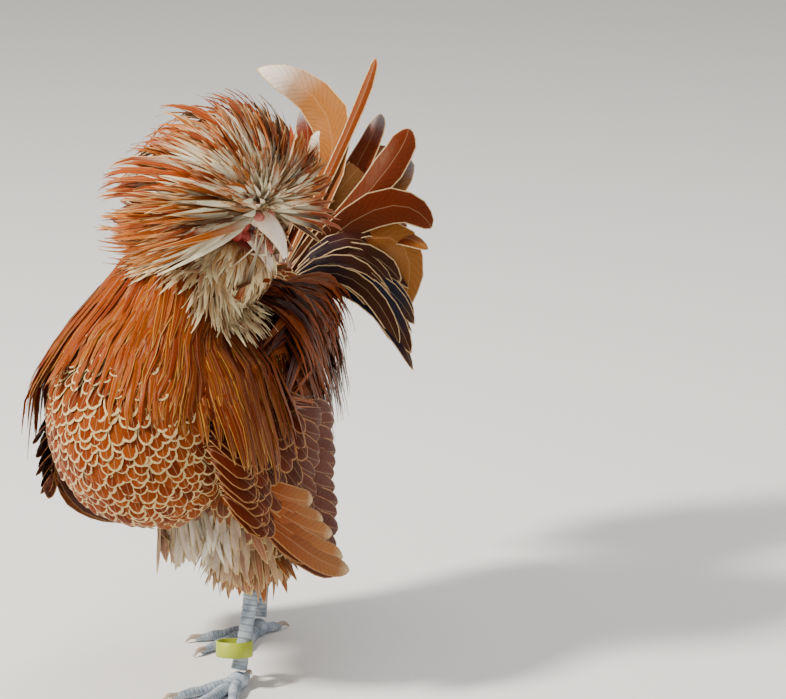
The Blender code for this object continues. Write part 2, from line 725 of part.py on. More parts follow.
def make_foot(name, pad, side, turn, material):
    """Three front toes, the hind toe and their claws, flat beneath."""
    axes = (Vector((1, 0, 0)), Vector((0, 1, 0)), Vector((0, 0, 1)))
    foot = ball(name, pad + Vector((0, 0.002, 0.0060)), axes, PAD_RADII, 10, 6, material)
    pieces = []
    for spread, length in TOES:
        angle = math.radians(turn - side * spread)
        pieces += make_toe(name, pad, Vector((math.sin(angle), -math.cos(angle), 0)), length)
    fuse(foot, pieces)
    bm = bmesh.new()
    bm.from_mesh(foot.data)
    everything = bm.verts[:] + bm.edges[:] + bm.faces[:]
    sliced = bmesh.ops.bisect_plane(bm, geom=everything, plane_co=(0, 0, SOLE_CUT), plane_no=(0, 0, 1),
                                    clear_inner=True)
    edges = [e for e in sliced["geom_cut"] if isinstance(e, bmesh.types.BMEdge)]
    bmesh.ops.holes_fill(bm, edges=edges, sides=0)
    bmesh.ops.translate(bm, verts=bm.verts, vec=(0, 0, -SOLE_CUT))
    bmesh.ops.triangulate(bm, faces=bm.faces)
    bmesh.ops.recalc_face_normals(bm, faces=bm.faces)
    bm.to_mesh(foot.data)
    bm.free()
    keep_largest(foot)
    return foot


def make_band(material):
    """The loose flat ring on the left shank."""
    _, hock, ankle = leg_points(LEFT_PAD, 1)
    lean = Vector((-0.75, -0.66, 0.0))
    centre = hock.lerp(ankle, 0.76) + lean * (BAND_INNER - 0.0064)
    axis = ((hock - ankle).normalized() + lean * 0.16).normalized()
    side = axis.cross(Vector((0, 1, 0))).normalized()
    up = side.cross(axis)
    outer = BAND_INNER + BAND_WALL
    bm = bmesh.new()
    rows = []
    turns = [2 * math.pi * i / BAND_STEPS for i in range(BAND_STEPS)]
    for radius, height in ((outer, -1), (outer, 1), (BAND_INNER, 1), (BAND_INNER, -1)):
        level = centre + axis * (height * BAND_HALF)
        rows.append([bm.verts.new(level + (side * math.cos(a) + up * math.sin(a)) * radius) for a in turns])
    for low, high in zip(rows, rows[1:] + rows[:1]):
        for i in range(BAND_STEPS):
            j = (i + 1) % BAND_STEPS
            bm.faces.new((low[i], low[j], high[j], high[i]))
    return add_object("leg_band", bm, material)


def bill_rings(sections, hinge, angle):
    """Rings of a bill half from its sections, turned down by an angle at the hinge."""
    rings = []
    for along, top, bottom, half in sections:
        ring = []
        for i in range(BILL_SIDES):
            a = 2 * math.pi * i / BILL_SIDES
            rise = math.sin(a)
            height = (top + bottom) / 2 + (top - bottom) / 2 * rise
            across = half * math.cos(a) * (1.0 if rise < 0.3 else 0.9)
            turned = (hinge[0] + along * math.cos(angle) + height * math.sin(angle),
                      hinge[1] - along * math.sin(angle) + height * math.cos(angle))
            ring.append(in_head(turned[0], across, turned[1]))
        rings.append(ring)
    return rings


def eye_place(side):
    return in_head(0.0105, side * 0.0142, 0.0035)


def make_lid(side):
    """The ring of skin round an eye."""
    out = (eye_place(side) - in_head(0.004, 0, 0.002)).normalized()
    around = out.cross(head_axes()[2]).normalized()
    over = around.cross(out) * 0.82
    bm = bmesh.new()
    rows = []
    for k in range(LID_STEPS):
        a = 2 * math.pi * k / LID_STEPS
        spoke = around * math.cos(a) + over * math.sin(a)
        rim = eye_place(side) + out * LID_OUT + spoke * (EYE_RADIUS + 0.0004)
        spoke.normalize()
        rows.append([bm.verts.new(rim + (spoke * math.cos(b) + out * math.sin(b)) * LID_THICKNESS)
                     for b in np.linspace(0, 2 * math.pi, LID_SIDES + 1)[:-1]])
    for low, high in zip(rows, rows[1:] + rows[:1]):
        for i in range(LID_SIDES):
            j = (i + 1) % LID_SIDES
            bm.faces.new((low[i], low[j], high[j], high[i]))
    return add_object("lid", bm)


def make_head(material):
    """The skull with the bare face, lids and ear lobes."""
    axes = head_axes()
    head = ball("head", SKULL, axes, (SKULL_LENGTH / 2, SKULL_WIDTH / 2, SKULL_HEIGHT / 2), 14, 9, material)
    pieces = [ball("face", in_head(0.016, 0, -0.001), axes, FACE_BALL, 12, 7)]
    for side in (1, -1):
        pieces.append(make_lid(side))
        pieces.append(ball("ear_lobe", in_head(-0.004, side * 0.0165, -0.010), axes, EAR_LOBE, 8, 6))
    return fuse(head, pieces)


def make_comb(material):
    comb = None
    pieces = []
    axes = head_axes()
    for side in (1, -1):
        points = [in_head(0.0215, side * 0.0030, 0.0125), in_head(0.0225, side * 0.0048, 0.0170),
                  in_head(0.0215, side * 0.0066, 0.0215)]
        horn = tube("comb", points, [0.0026, 0.0022, 0.0010], 8, material)
        if comb:
            pieces.append(horn)
        else:
            comb = horn
    pieces.append(ball("comb_base", in_head(0.0215, 0, 0.0130), axes, (0.0026, 0.0050, 0.0020), 10, 6))
    return fuse(comb, pieces)


def stand_on_origin():
    """Moves every node so that the middle of the model's box stands on the origin."""
    corners = np.array([v.co for obj in placed for v in obj.data.vertices])
    low, high = corners.min(axis=0), corners.max(axis=0)
    for obj in placed:
        obj.location = (-(low[0] + high[0]) / 2, -(low[1] + high[1]) / 2, 0)


def build():
    feathers = finish_of("laced_plumage", RUFOUS, 0.55)
    hackle = finish_of("hackle_plumage", HACKLE_ORANGE, 0.45)
    flight = finish_of("flight_plumage", BUFF, 0.5)
    cream = finish_of("crest_plumage", CREAM, 0.6)
    skin = finish_of("face_skin", FACE_RED, 0.5)
    horn = finish_of("bill_horn", HORN, 0.4)
    slate = finish_of("leg_scales", SLATE, 0.5)
    eye_finish = finish_of("eye", (0.35, 0.12, 0.03), 0.1)
    tongue_finish = finish_of("tongue", (0.80, 0.36, 0.26), 0.4)
    band_finish = finish_of("band_plastic", BAND_YELLOW, 0.35)

    place(make_torso(feathers))
    for name, pad, side, turn in (("left", LEFT_PAD, 1, 4), ("right", RIGHT_PAD, -1, -14)):
        place(make_thigh("thigh_" + name, pad, side, feathers))
        place(make_foot("foot_" + name, pad, side, turn, slate))
        place(make_shank("shank_" + name, pad, side, slate))
    place(make_band(band_finish))
    torso, thighs = placed[0], [placed[1], placed[4]]
    wings = [place(make_wing(1, "wing_left", flight)), place(make_wing(-1, "wing_right", flight))]
    tail = place(make_tail(flight))
    add_saddle(torso, *wings, tail, *thighs)
    neck = make_neck(hackle)
    neck_tree = tree_of(neck.data)
    place(add_hackle(neck, torso, *wings))
    for name, side in (("left", 1), ("right", -1)):
        place(ball("eye_" + name, eye_place(side), head_axes(), [EYE_RADIUS] * 3, 12, 8, eye_finish))
    place(make_head(skin))
    place(loft("bill_upper", bill_rings(UPPER_BILL, UPPER_HINGE, 0.0), horn))
    place(loft("bill_lower", bill_rings(LOWER_BILL, LOWER_HINGE, GAPE_ANGLE), horn))
    place(loft("tongue", bill_rings(TONGUE, TONGUE_HINGE, TONGUE_DROP), tongue_finish))
    place(make_comb(skin))
    place(make_beard(cream, neck_tree))
    place(make_crest(cream))
    stand_on_origin()


clear_scene()
made_of = {}
placed = []
bird = bpy.data.collections.new("polish_cock")
bpy.context.scene.collection.children.link(bird)
build()
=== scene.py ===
# A life-size crested and bearded cock in its feathers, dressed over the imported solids.
# Places are worked out in the bird's own frame: it faces -Y, its left side is +X and it stands at Z 0.
import math
import random

import bmesh
import bpy
import numpy as np
from mathutils import Matrix, Vector
from mathutils.bvhtree import BVHTree


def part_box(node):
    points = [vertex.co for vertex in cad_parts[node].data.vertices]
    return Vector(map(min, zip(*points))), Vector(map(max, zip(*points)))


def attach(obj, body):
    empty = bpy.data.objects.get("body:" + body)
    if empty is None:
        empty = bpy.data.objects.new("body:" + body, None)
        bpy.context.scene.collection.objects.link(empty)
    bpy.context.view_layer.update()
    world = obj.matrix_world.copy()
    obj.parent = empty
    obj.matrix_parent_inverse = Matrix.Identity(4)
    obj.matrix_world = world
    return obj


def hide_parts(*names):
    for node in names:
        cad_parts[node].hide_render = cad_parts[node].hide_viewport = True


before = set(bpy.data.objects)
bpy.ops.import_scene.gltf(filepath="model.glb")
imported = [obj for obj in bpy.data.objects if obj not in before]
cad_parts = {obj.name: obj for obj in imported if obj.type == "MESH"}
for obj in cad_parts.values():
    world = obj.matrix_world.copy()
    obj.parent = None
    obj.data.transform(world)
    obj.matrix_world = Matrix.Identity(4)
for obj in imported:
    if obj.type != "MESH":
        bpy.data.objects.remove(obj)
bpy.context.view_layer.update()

# Head: middle of the skull, and its own forward, left and up
skullMiddle = Vector((0.047, -0.005, 0.364))
headTurn = math.radians(79)
headDrop = math.radians(25)
headLevel = Vector((math.sin(headTurn), -math.cos(headTurn), 0))
headLeft = Vector((0, 0, 1)).cross(headLevel)
headForward = headLevel * math.cos(headDrop) - Vector((0, 0, math.sin(headDrop)))
headUp = headForward.cross(headLeft)
headAxes = (headForward, headLeft, headUp)
bodyAxes = (Vector((1, 0, 0)), Vector((0, 1, 0)), Vector((0, 0, 1)))


def inHead(forward, left, up):
    return skullMiddle + headForward * forward + headLeft * left + headUp * up


eyeSpot = (0.0105, 0.0142, 0.0035)      # forward, to the side and up from the skull's middle
eyeLow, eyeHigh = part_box("eye_left")
standShift = (Vector(eyeLow) + Vector(eyeHigh)) / 2 - inHead(*eyeSpot)


def addObject(name, data):
    thing = bpy.data.objects.new(name, data)
    bpy.context.scene.collection.objects.link(thing)
    return thing


# Camera: the photo's angle, with the bird at the left of the picture
cameraSettings = {"azimuth": 35, "elevation": 15, "distance": 2.4, "lens": 148.4, "sensor": 36,
                  "focalPixels": 3240, "target": (0, 0, 0.22), "targetLeftOfMiddle": 206,
                  "targetBelowMiddle": 35.8}


def makeCamera(settings):
    around = math.radians(settings["azimuth"])
    rise = math.radians(settings["elevation"])
    back = Vector((math.sin(around) * math.cos(rise), -math.cos(around) * math.cos(rise), math.sin(rise)))
    right = Vector((math.cos(around), math.sin(around), 0))
    up = back.cross(right)
    turn = settings["targetLeftOfMiddle"] / settings["focalPixels"]
    tilt = settings["targetBelowMiddle"] / settings["focalPixels"]
    ahead = (right * turn + up * tilt - back).normalized()
    data = bpy.data.cameras.new("camera")
    data.lens = settings["lens"]
    data.sensor_width = settings["sensor"]
    camera = addObject("camera", data)
    camera.location = Vector(settings["target"]) + standShift + back * settings["distance"]
    camera.rotation_euler = ahead.to_track_quat("-Z", "Y").to_euler()
    bpy.context.scene.camera = camera


makeCamera(cameraSettings)
print("camera set")


# Small helpers
deepening = 0.60     # strong colours turn pale in a bright picture, so they start darker


def tone(red, green, blue):
    # a screen colour from 0 to 255, made linear
    shares = np.array((red, green, blue)) / 255
    linear = np.where(shares <= 0.04045, shares / 12.92, ((shares + 0.055) / 1.055) ** 2.4)
    return linear * (1 - deepening * (1 - linear.min() / linear.max()) ** 2)


def ease(low, high, value):
    share = np.clip((value - low) / (high - low), 0, 1)
    return share * share * (3 - 2 * share)


def blendTones(first, second, share):
    share = np.asarray(share)[..., None]
    return first * (1 - share) + second * share


def unit(vectors):
    return vectors / np.maximum(np.linalg.norm(vectors, axis=-1, keepdims=True), 1e-9)


def smoothRows(rows, count):
    # rows of numbers read at even steps along a smooth curve through them
    table = np.array(rows, float)
    out = []
    for at in np.linspace(0, len(table) - 1, count):
        i = min(int(at), len(table) - 2)
        t = at - i
        before = table[max(i - 1, 0)]
        a = table[i]
        b = table[i + 1]
        after = table[min(i + 2, len(table) - 1)]
        out.append(0.5 * (2 * a + (b - before) * t + (2 * before - 5 * a + 4 * b - after) * t ** 2
                          + (3 * a - before - 3 * b + after) * t ** 3))
    return np.array(out)


def finishMesh(name, bm, finish=None, smooth=True):
    bmesh.ops.recalc_face_normals(bm, faces=bm.faces)
    mesh = bpy.data.meshes.new(name)
    bm.to_mesh(mesh)
    bm.free()
    if smooth:
        mesh.shade_smooth()
    if finish:
        mesh.materials.append(finish)
    return addObject(name, mesh)


def fused(name, bm, voxel, smoothing, finish=None):
    # the forms in bm as one closed and smooth surface
    thing = finishMesh(name, bm, finish)
    remesh = thing.modifiers.new("remesh", "REMESH")
    remesh.mode = "VOXEL"
    remesh.voxel_size = voxel
    thing.modifiers.new("smooth", "SMOOTH").iterations = smoothing
    graph = bpy.context.evaluated_depsgraph_get()
    mesh = bpy.data.meshes.new_from_object(thing.evaluated_get(graph), depsgraph=graph)
    thing.modifiers.clear()
    thing.data = mesh
    mesh.shade_smooth()
    return thing


def standOnSolids(thing, slotName, *nodes):
    thing.data.transform(Matrix.Translation(standShift))
    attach(thing, "root")
    if nodes:
        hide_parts(*nodes)
    return thing


def joinRings(bm, low, high):
    for i in range(len(low)):
        j = (i + 1) % len(low)
        bm.faces.new((low[i], low[j], high[j], high[i]))


def loftInto(bm, rings, looped=False):
    # looped joins the last ring to the first, and otherwise both ends are closed
    rows = [[bm.verts.new(point) for point in ring] for ring in rings]
    for low, high in zip(rows, rows[1:]):
        joinRings(bm, low, high)
    if looped:
        joinRings(bm, rows[-1], rows[0])
    else:
        bm.faces.new(rows[0])
        bm.faces.new(rows[-1])


def ovalRing(centre, side, up, halfWidth, halfUp, halfDown, count):
    ring = []
    for i in range(count):
        angle = 2 * math.pi * i / count
        rise = math.sin(angle)
        reach = halfUp if rise > 0 else halfDown
        ring.append(centre + side * (halfWidth * math.cos(angle)) + up * (reach * rise))
    return ring


def tubeInto(bm, points, radii, count):
    points = [Vector(point) for point in points]
    side = (points[1] - points[0]).orthogonal().normalized()
    rings = []
    for i, point in enumerate(points):
        way = (points[min(i + 1, len(points) - 1)] - points[max(i - 1, 0)]).normalized()
        side = (side - way * side.dot(way)).normalized()
        up = side.cross(way)
        rings.append(ovalRing(point, side, up, radii[i], radii[i], radii[i], count))
    loftInto(bm, rings)


def ballInto(bm, centre, axes, radii, segments=24, rings=14):
    made = bmesh.ops.create_uvsphere(bm, u_segments=segments, v_segments=rings, radius=1)
    turn = Matrix([axes[k] * radii[k] for k in range(3)]).transposed().to_4x4()
    bmesh.ops.transform(bm, matrix=Matrix.Translation(centre) @ turn, verts=made["verts"])


# Materials: values that vary are written as sums of wires
class Wire:
    def __init__(self, finish, socket):
        self.finish = finish
        self.socket = socket

    def maths(self, operation, first, second=0.0):
        return self.finish.node("Math", {"operation": operation}, {0: first, 1: second})

    def __add__(self, other):
        return self.maths("ADD", self, other)

    __radd__ = __add__

    def __sub__(self, other):
        return self.maths("SUBTRACT", self, other)

    def __rsub__(self, other):
        return self.maths("SUBTRACT", other, self)

    def __mul__(self, other):
        return self.maths("MULTIPLY", self, other)

    def __abs__(self):
        return self.maths("ABSOLUTE", self)

    def sine(self):
        return self.maths("SINE", self)

    def between(self, low, high):
        # 0 below low, 1 above high and an even run in between
        return self.finish.node("MapRange", {"clamp": True}, {0: self, 1: low, 2: high})


class Finish:
    def __init__(self, name):
        self.material = bpy.data.materials.new(name)
        self.material.use_nodes = True
        self.tree = self.material.node_tree
        self.tree.nodes.clear()

    def node(self, kind, settings=None, inputs=None, output=0):
        made = self.tree.nodes.new("ShaderNode" + kind)
        for key, value in (settings or {}).items():
            setattr(made, key, value)
        for key, value in (inputs or {}).items():
            self.plug(made.inputs[key], value)
        return Wire(self, made.outputs[output])

    def plug(self, socket, value):
        if isinstance(value, Wire):
            self.tree.links.new(value.socket, socket)
        elif socket.type == "RGBA" and len(value) == 3:
            socket.default_value = (*value, 1)
        else:
            socket.default_value = value

    def attribute(self, name, output):
        return self.node("Attribute", {"attribute_name": name}, output=output)

    def mix(self, share, first, second, way="MIX"):
        settings = {"data_type": "RGBA", "blend_type": way}
        return self.node("Mix", settings, {0: share, 6: first, 7: second}, output=2)

    def noise(self, scale, detail=3.0, stretch=(1, 1, 1)):
        place = self.node("TexCoord", output=3)
        if stretch != (1, 1, 1):
            place = self.node("Mapping", {}, {"Vector": place, "Scale": stretch})
        return self.node("TexNoise", {}, {"Vector": place, "Scale": scale, "Detail": detail})

    def bump(self, height, strength, distance):
        return self.node("Bump", {}, {"Strength": strength, "Distance": distance, "Height": height})

    def close(self, baseColour, roughness, normal=None, **still):
        # still holds the shader values that are the same all over
        inputs = {"Base Color": baseColour, "Roughness": roughness}
        if normal:
            inputs["Normal"] = normal
        inputs.update({key.replace("_", " "): value for key, value in still.items()})
        shader = self.node("BsdfPrincipled", {}, inputs)
        end = self.tree.nodes.new("ShaderNodeOutputMaterial")
        self.tree.links.new(shader.socket, end.inputs["Surface"])
        return self.material


featherMarks = {"slant": 1.5, "splits": 0.13, "splitDepth": 0.35, "shaftHalf": (0.00018, 0.00042),
                "shaftTone": tone(236, 206, 160), "tint": (1, 0.72, 0.45, 1), "laceEdge": (0.75, 1.15)}


def featherFinish(name, roughness, barbs, shaft, gloss):
    # ground and edging colours come from the feathers, with the shaft and barbs drawn over them
    marks = featherMarks
    f = Finish(name)
    parts = f.node("SeparateXYZ", {}, {0: f.attribute("spot", 1)})
    across = abs(parts)
    along, chance = [Wire(f, parts.socket.node.outputs[k]) for k in (1, 2)]
    slant = along - across * marks["slant"]
    barbLines = (slant * barbs + chance * 40).sine()
    split = (slant * (barbs * marks["splits"]) + chance * 70).sine().between(0.86, 1.0)
    split = split * across.between(0.0008, 0.0035)
    mottle = f.noise(420, 2)
    uneven = mottle - 0.5
    frayed = f.attribute("rim", 2) + uneven * 0.5 + barbLines * 0.10
    laced = f.mix(frayed.between(*marks["laceEdge"]), f.attribute("edging", 0), f.attribute("ground", 0))
    shafted = f.mix((1 - across.between(*marks["shaftHalf"])) * shaft, laced, marks["shaftTone"])
    shade = 0.94 + barbLines * 0.06 - split * marks["splitDepth"] + uneven * 0.3
    toned = f.mix(1.0, shafted, f.node("CombineColor", {}, {0: shade, 1: shade, 2: shade}), "MULTIPLY")
    height = barbLines * 0.5 - split - across * 60
    return f.close(toned, roughness + uneven * 0.2, f.bump(height, 0.35, 0.0003), Specular_IOR_Level=gloss,
                   Specular_Tint=marks["tint"])


# Feathers: where the stations lie along each kind, and how wide it is there
featherKinds = {
    "scale": {"stops": (0.0, 0.16, 0.36, 0.56, 0.74, 0.87, 0.95, 1.0),
              "widths": (0.25, 0.62, 0.88, 1.0, 0.97, 0.80, 0.54, 0.12), "wide": False, "camber": 0.18},
    "lance": {"stops": (0.0, 0.12, 0.30, 0.48, 0.66, 0.82, 0.93, 1.0),
              "widths": (0.30, 0.66, 0.92, 1.0, 0.90, 0.62, 0.34, 0.04), "wide": False, "camber": 0.30},
    "flight": {"stops": (0.0, 0.08, 0.20, 0.34, 0.48, 0.62, 0.75, 0.85, 0.92, 0.97, 1.0),
               "widths": (0.16, 0.42, 0.78, 0.94, 1.0, 1.0, 0.96, 0.86, 0.68, 0.42, 0.10), "wide": True,
               "camber": 0.16},
    "tuft": {"stops": (0.0, 0.22, 0.48, 0.72, 0.89, 1.0),
             "widths": (0.40, 0.85, 1.0, 0.78, 0.42, 0.05), "wide": False, "camber": 0.35},
}
featherThickness = 0.00030


class Coat:
    # gathers feathers of one kind and makes them one mesh
    def __init__(self, kind):
        self.kind = featherKinds[kind]
        self.stops = np.array(self.kind["stops"])
        self.feathers = []

    def add(self, path, looks, width, ground, edging, lace, place):
        # looks is one way or one for each station, ground a colour for each station, lace the width of the pale
        # edge and place the root on the unwrap of the skin
        if isinstance(looks, Vector):
            looks = [looks] * len(path)
        row = [tuple(p) for p in path], [tuple(n) for n in looks], width, ground, edging, lace, place
        self.feathers.append(row)

    def crossSection(self):
        # round the feather as shares of its half width: first the arched top, then the face under it
        camber = self.kind["camber"]
        top = [(-1, 0), (0, camber), (1, 0)]
        if self.kind["wide"]:
            top = [(-1, 0), (-0.5, 0.75 * camber), (0, camber), (0.5, 0.75 * camber), (1, 0)]
        under = top[-2:0:-1]
        thickness = [0.0] * len(top) + [featherThickness] * len(under)
        return (*np.array(top + under).T, np.array(thickness))

    def build(self, name, finish, seed):
        draw = np.random.default_rng(seed)
        columns = [np.array(column, dtype=float) for column in zip(*self.feathers)]
        paths, looks, widths, grounds, edgings, laces, places = columns
        count = len(paths)
        way = unit(np.gradient(paths, axis=1))
        side = unit(np.cross(way, looks))
        rise = np.cross(side, way)
        half = widths[:, None] / 2 * np.array(self.kind["widths"])
        half = (half * draw.uniform(0.92, 1.08, half.shape))[:, :, None]
        across, lift, thickness = self.crossSection()
        points = (paths[:, :, None] + side[:, :, None] * (half * across)[..., None]
                  + rise[:, :, None] * (half * lift - thickness)[..., None])
        run = np.linalg.norm(np.diff(paths, axis=1), axis=2).sum(axis=1)[:, None]
        along = run * self.stops
        mesh = bpy.data.meshes.new(name)
        self.fillFaces(mesh, points.reshape(-1, 3), paths.shape[1], len(across))
        chance = draw.uniform(0, 1, count)[:, None, None]
        spot = np.stack(np.broadcast_arrays(half * across, along[:, :, None], chance), axis=-1)
        self.fill(mesh, "spot", "FLOAT_VECTOR", "vector", spot)
        inFromRim = np.minimum(half * (1 - np.abs(across)), (run - along)[:, :, None] * 0.9)
        self.fill(mesh, "rim", "FLOAT", "value", inFromRim / laces[:, None, None])
        for key, colours in (("ground", grounds[:, :, None]), ("edging", edgings[:, None, None])):
            shown = np.ones((*points.shape[:3], 4))
            shown[..., :3] = colours
            self.fill(mesh, key, "FLOAT_COLOR", "color", shown)
        self.unwrap(mesh, across, places)
        mesh.materials.append(finish)
        mesh.shade_smooth()
        mesh.set_sharp_from_angle(angle=math.radians(100))
        print(name, count, "feathers")
        return addObject(name, mesh)

    def fillFaces(self, mesh, points, stations, ringSize):
        # strips round each feather from root to tip, and a face at either end
        ring = list(range(ringSize))
        last = (stations - 1) * ringSize
        one = [(low + i, low + (i + 1) % ringSize, low + ringSize + (i + 1) % ringSize, low + ringSize + i)
               for low in range(0, last, ringSize) for i in ring]
        one += [ring[::-1], [last + i for i in ring]]
        faces = [[start + i for i in face] for start in range(0, len(points), last + ringSize) for face in one]
        mesh.from_pydata(points.tolist(), [], faces)
        mesh.validate()

    def fill(self, mesh, key, kind, field, values):
        layer = mesh.attributes.new(key, kind, "POINT")
        layer.data.foreach_set(field, np.ascontiguousarray(values, dtype=np.float32).ravel())

    def unwrap(self, mesh, across, places):
        # each feather takes its own small patch at its root's place on the unwrap of the skin
        patch = 0.003
        taken = set()
        corners = []
        for u, v in places:
            column = int(u / patch)
            row = int(v / patch)
            while (column, row) in taken:
                column += 1
                if column * patch > 0.997:
                    column = 0
                    row += 1
            taken.add((column, row))
            corners.append((column * patch, row * patch))
        inner = patch * 0.86
        left, low = np.array(corners).T[:, :, None, None]
        u = left + (across + 1) / 2 * inner
        v = low + self.stops[:, None] * inner
        spots = np.stack(np.broadcast_arrays(u, v), axis=-1).reshape(-1, 2)
        index = np.empty(len(mesh.loops), dtype=np.int32)
        mesh.loops.foreach_get("vertex_index", index)
        layer = mesh.uv_layers.new(name="OFBake")
        layer.data.foreach_set("uv", spots[index].astype(np.float32).ravel())


# Skin: one closed surface of torso, neck, head and thighs under the coat
skinSettings = {"inset": 0.0035, "voxel": 0.0028, "smoothing": 6, "around": 40, "frontOf": -0.1,
                "thigh": (0.031, 0.034, 0.0195, 0.0072)}
torsoRows = [
    (-0.126, 0.212, 0.016, 0.020, 0.022), (-0.112, 0.212, 0.043, 0.050, 0.050),
    (-0.086, 0.213, 0.064, 0.073, 0.074), (-0.045, 0.216, 0.076, 0.084, 0.087),
    (0.000, 0.222, 0.078, 0.080, 0.084), (0.045, 0.234, 0.069, 0.063, 0.070),
    (0.085, 0.251, 0.050, 0.042, 0.050), (0.118, 0.268, 0.030, 0.026, 0.028),
]
neckRows = [(0.002, -0.052, 0.236, 0.056), (0.010, -0.036, 0.275, 0.045), (0.020, -0.018, 0.308, 0.034),
            (0.028, -0.006, 0.336, 0.026), (0.034, 0.000, 0.358, 0.020)]
hips = {1: Vector((0.040, 0.022, 0.185)), -1: Vector((-0.040, 0.022, 0.185))}
pads = {1: Vector((0.052, -0.018, 0)), -1: Vector((-0.002, 0.090, 0))}
hockHeight = 0.084
shankLean = 0.024
ankleHeight = 0.013
beardMiddle = inHead(0.008, 0, -0.014) - Vector((0, 0, 0.026))


def hockOf(side):
    return pads[side] + Vector((side * 0.002, shankLean, hockHeight))


def ankleOf(side):
    return pads[side] + Vector((0, 0.004, ankleHeight))


def makeSkin():
    bm = bmesh.new()
    inset = skinSettings["inset"]
    sideways, _, upward = bodyAxes
    rings = []
    for y, middle, halfWidth, above, below in smoothRows(torsoRows, 26):
        centre = Vector((0, y + (inset if y < skinSettings["frontOf"] else 0), middle))
        rings.append(ovalRing(centre, sideways, upward, halfWidth - inset, above - inset, below - inset,
                              skinSettings["around"]))
    loftInto(bm, rings)
    rows = smoothRows(neckRows, 14)
    tubeInto(bm, [row[:3] for row in rows], [row[3] - inset for row in rows], 28)
    ballInto(bm, skullMiddle, headAxes, (0.0262, 0.0178, 0.0198))
    ballInto(bm, inHead(0.016, 0, -0.001), headAxes, (0.0098, 0.0118, 0.0118))
    ballInto(bm, inHead(-0.008, 0, 0.008), headAxes, (0.023, 0.026, 0.024))
    ballInto(bm, beardMiddle, headAxes, (0.020, 0.024, 0.024))
    for side in (1, -1):
        ballInto(bm, inHead(-0.004, side * 0.012, -0.010), headAxes, (0.014, 0.011, 0.014))
        hip = hips[side]
        hock = hockOf(side)
        knee = hip.lerp(hock, 0.35) + Vector((side * 0.006, -0.016, 0))
        low = hip.lerp(hock, 0.75) + Vector((0, -0.004, 0))
        path = smoothRows([hip, knee, low, hock - Vector((0, 0.001, 0.004))], 14)
        radii = smoothRows([(radius,) for radius in skinSettings["thigh"]], 14)[:, 0]
        tubeInto(bm, path, radii, 24)
    return fused("skin", bm, skinSettings["voxel"], skinSettings["smoothing"])


skin = makeSkin()


def treeOf(thing):
    bm = bmesh.new()
    bm.from_mesh(thing.data)
    tree = BVHTree.FromBMesh(bm)
    bm.free()
    return tree


skinTree = treeOf(skin)
print("skin made", len(skin.data.polygons))


def neckMiddle(height):
    # the neck's middle line at a height, and its half thickness
    heights = [row[2] for row in neckRows]
    return [float(np.interp(height, heights, [row[k] for row in neckRows])) for k in (0, 1, 3)]


def headShares(point):
    away = point - skullMiddle
    return away.dot(headForward), away.dot(headLeft), away.dot(headUp)


def scatter(thing, keep, spacing, seed):
    # evenly spread places on a surface where keep(place, normal) gives true
    mesh = thing.data
    draw = np.random.default_rng(seed)
    areas = np.array([p.area for p in mesh.polygons])
    count = int(areas.sum() / spacing ** 2 * 7)
    picks = draw.choice(len(areas), count, p=areas / areas.sum())
    cells = {}
    found = []
    for pick in picks:
        polygon = mesh.polygons[pick]
        place = Vector(polygon.center)
        place += Vector(draw.uniform(-0.0012, 0.0012, 3))
        if not keep(place, polygon.normal):
            continue
        cell = tuple(int(math.floor(c / spacing)) for c in place)
        near = [q for dx in (-1, 0, 1) for dy in (-1, 0, 1) for dz in (-1, 0, 1)
                for q in cells.get((cell[0] + dx, cell[1] + dy, cell[2] + dz), ())]
        if all((q - place).length > spacing for q in near):
            cells.setdefault(cell, []).append(place)
            found.append(place)
    return found


def longUnwrap(across, ahead, along, low, reach):
    # the turn round a long form's axis, and the share of its length
    turn = math.atan2(across, ahead) / (2 * math.pi) + 0.5
    return turn * 0.95 + 0.02, min(max((along - low) / reach, 0), 0.95)


def bodyUnwrap(place):
    return longUnwrap(place.x, place.z - 0.225, place.y, -0.14, 0.32)


def neckUnwrap(place):
    x, y, _ = neckMiddle(place.z)
    return longUnwrap(place.y - y, place.x - x, place.z, 0.22, 0.20)


def headUnwrap(place):
    forward, left, up = headShares(place)
    flat = math.hypot(forward, left)
    lean = math.atan2(flat, up) / math.pi
    turn = math.atan2(left, forward)
    return 0.48 + 0.46 * lean * math.cos(turn), 0.48 + 0.46 * lean * math.sin(turn)


def layOn(tree, root, field, length, stops, base, rise):
    # a path that follows a surface along a field of directions and lifts towards its tip
    path = []
    looks = []
    spot = Vector(root)
    last = 0
    for stop in stops:
        hit, normal, _, _ = tree.find_nearest(spot)
        way = field(hit)
        way = (way - normal * way.dot(normal)).normalized()
        if stop > last:
            spot = hit + way * (length * (stop - last))
            hit, normal, _, _ = tree.find_nearest(spot)
            last = stop
        path.append(hit + normal * (base + rise * stop))
        looks.append(normal)
        spot = hit
    return path, looks


def pushedOut(path, trees, clear):
    out = list(path)
    for _ in range(2):
        for i in range(1, len(out)):
            for tree in trees:
                spot, normal, _, _ = tree.find_nearest(out[i])
                away = out[i] - spot
                if away.dot(normal) < clear and away.length < 0.05:
                    out[i] = spot + normal * clear
    return out


def curved(root, middle, tip, stops):
    return [root * (1 - t) ** 2 + middle * (2 * t * (1 - t)) + tip * t ** 2 for t in stops]


def shaken(draw, amount):
    return Vector([draw.gauss(0, amount) for _ in range(3)])


def shaded(settings, draw, middle, strength):
    # a coat's ground tone, drawn some way towards its deep tone or its bright one
    shade = draw.random()
    other = settings["deep"] if shade < middle else settings["bright"]
    return blendTones(settings["ground"], other, abs(shade - middle) * strength)


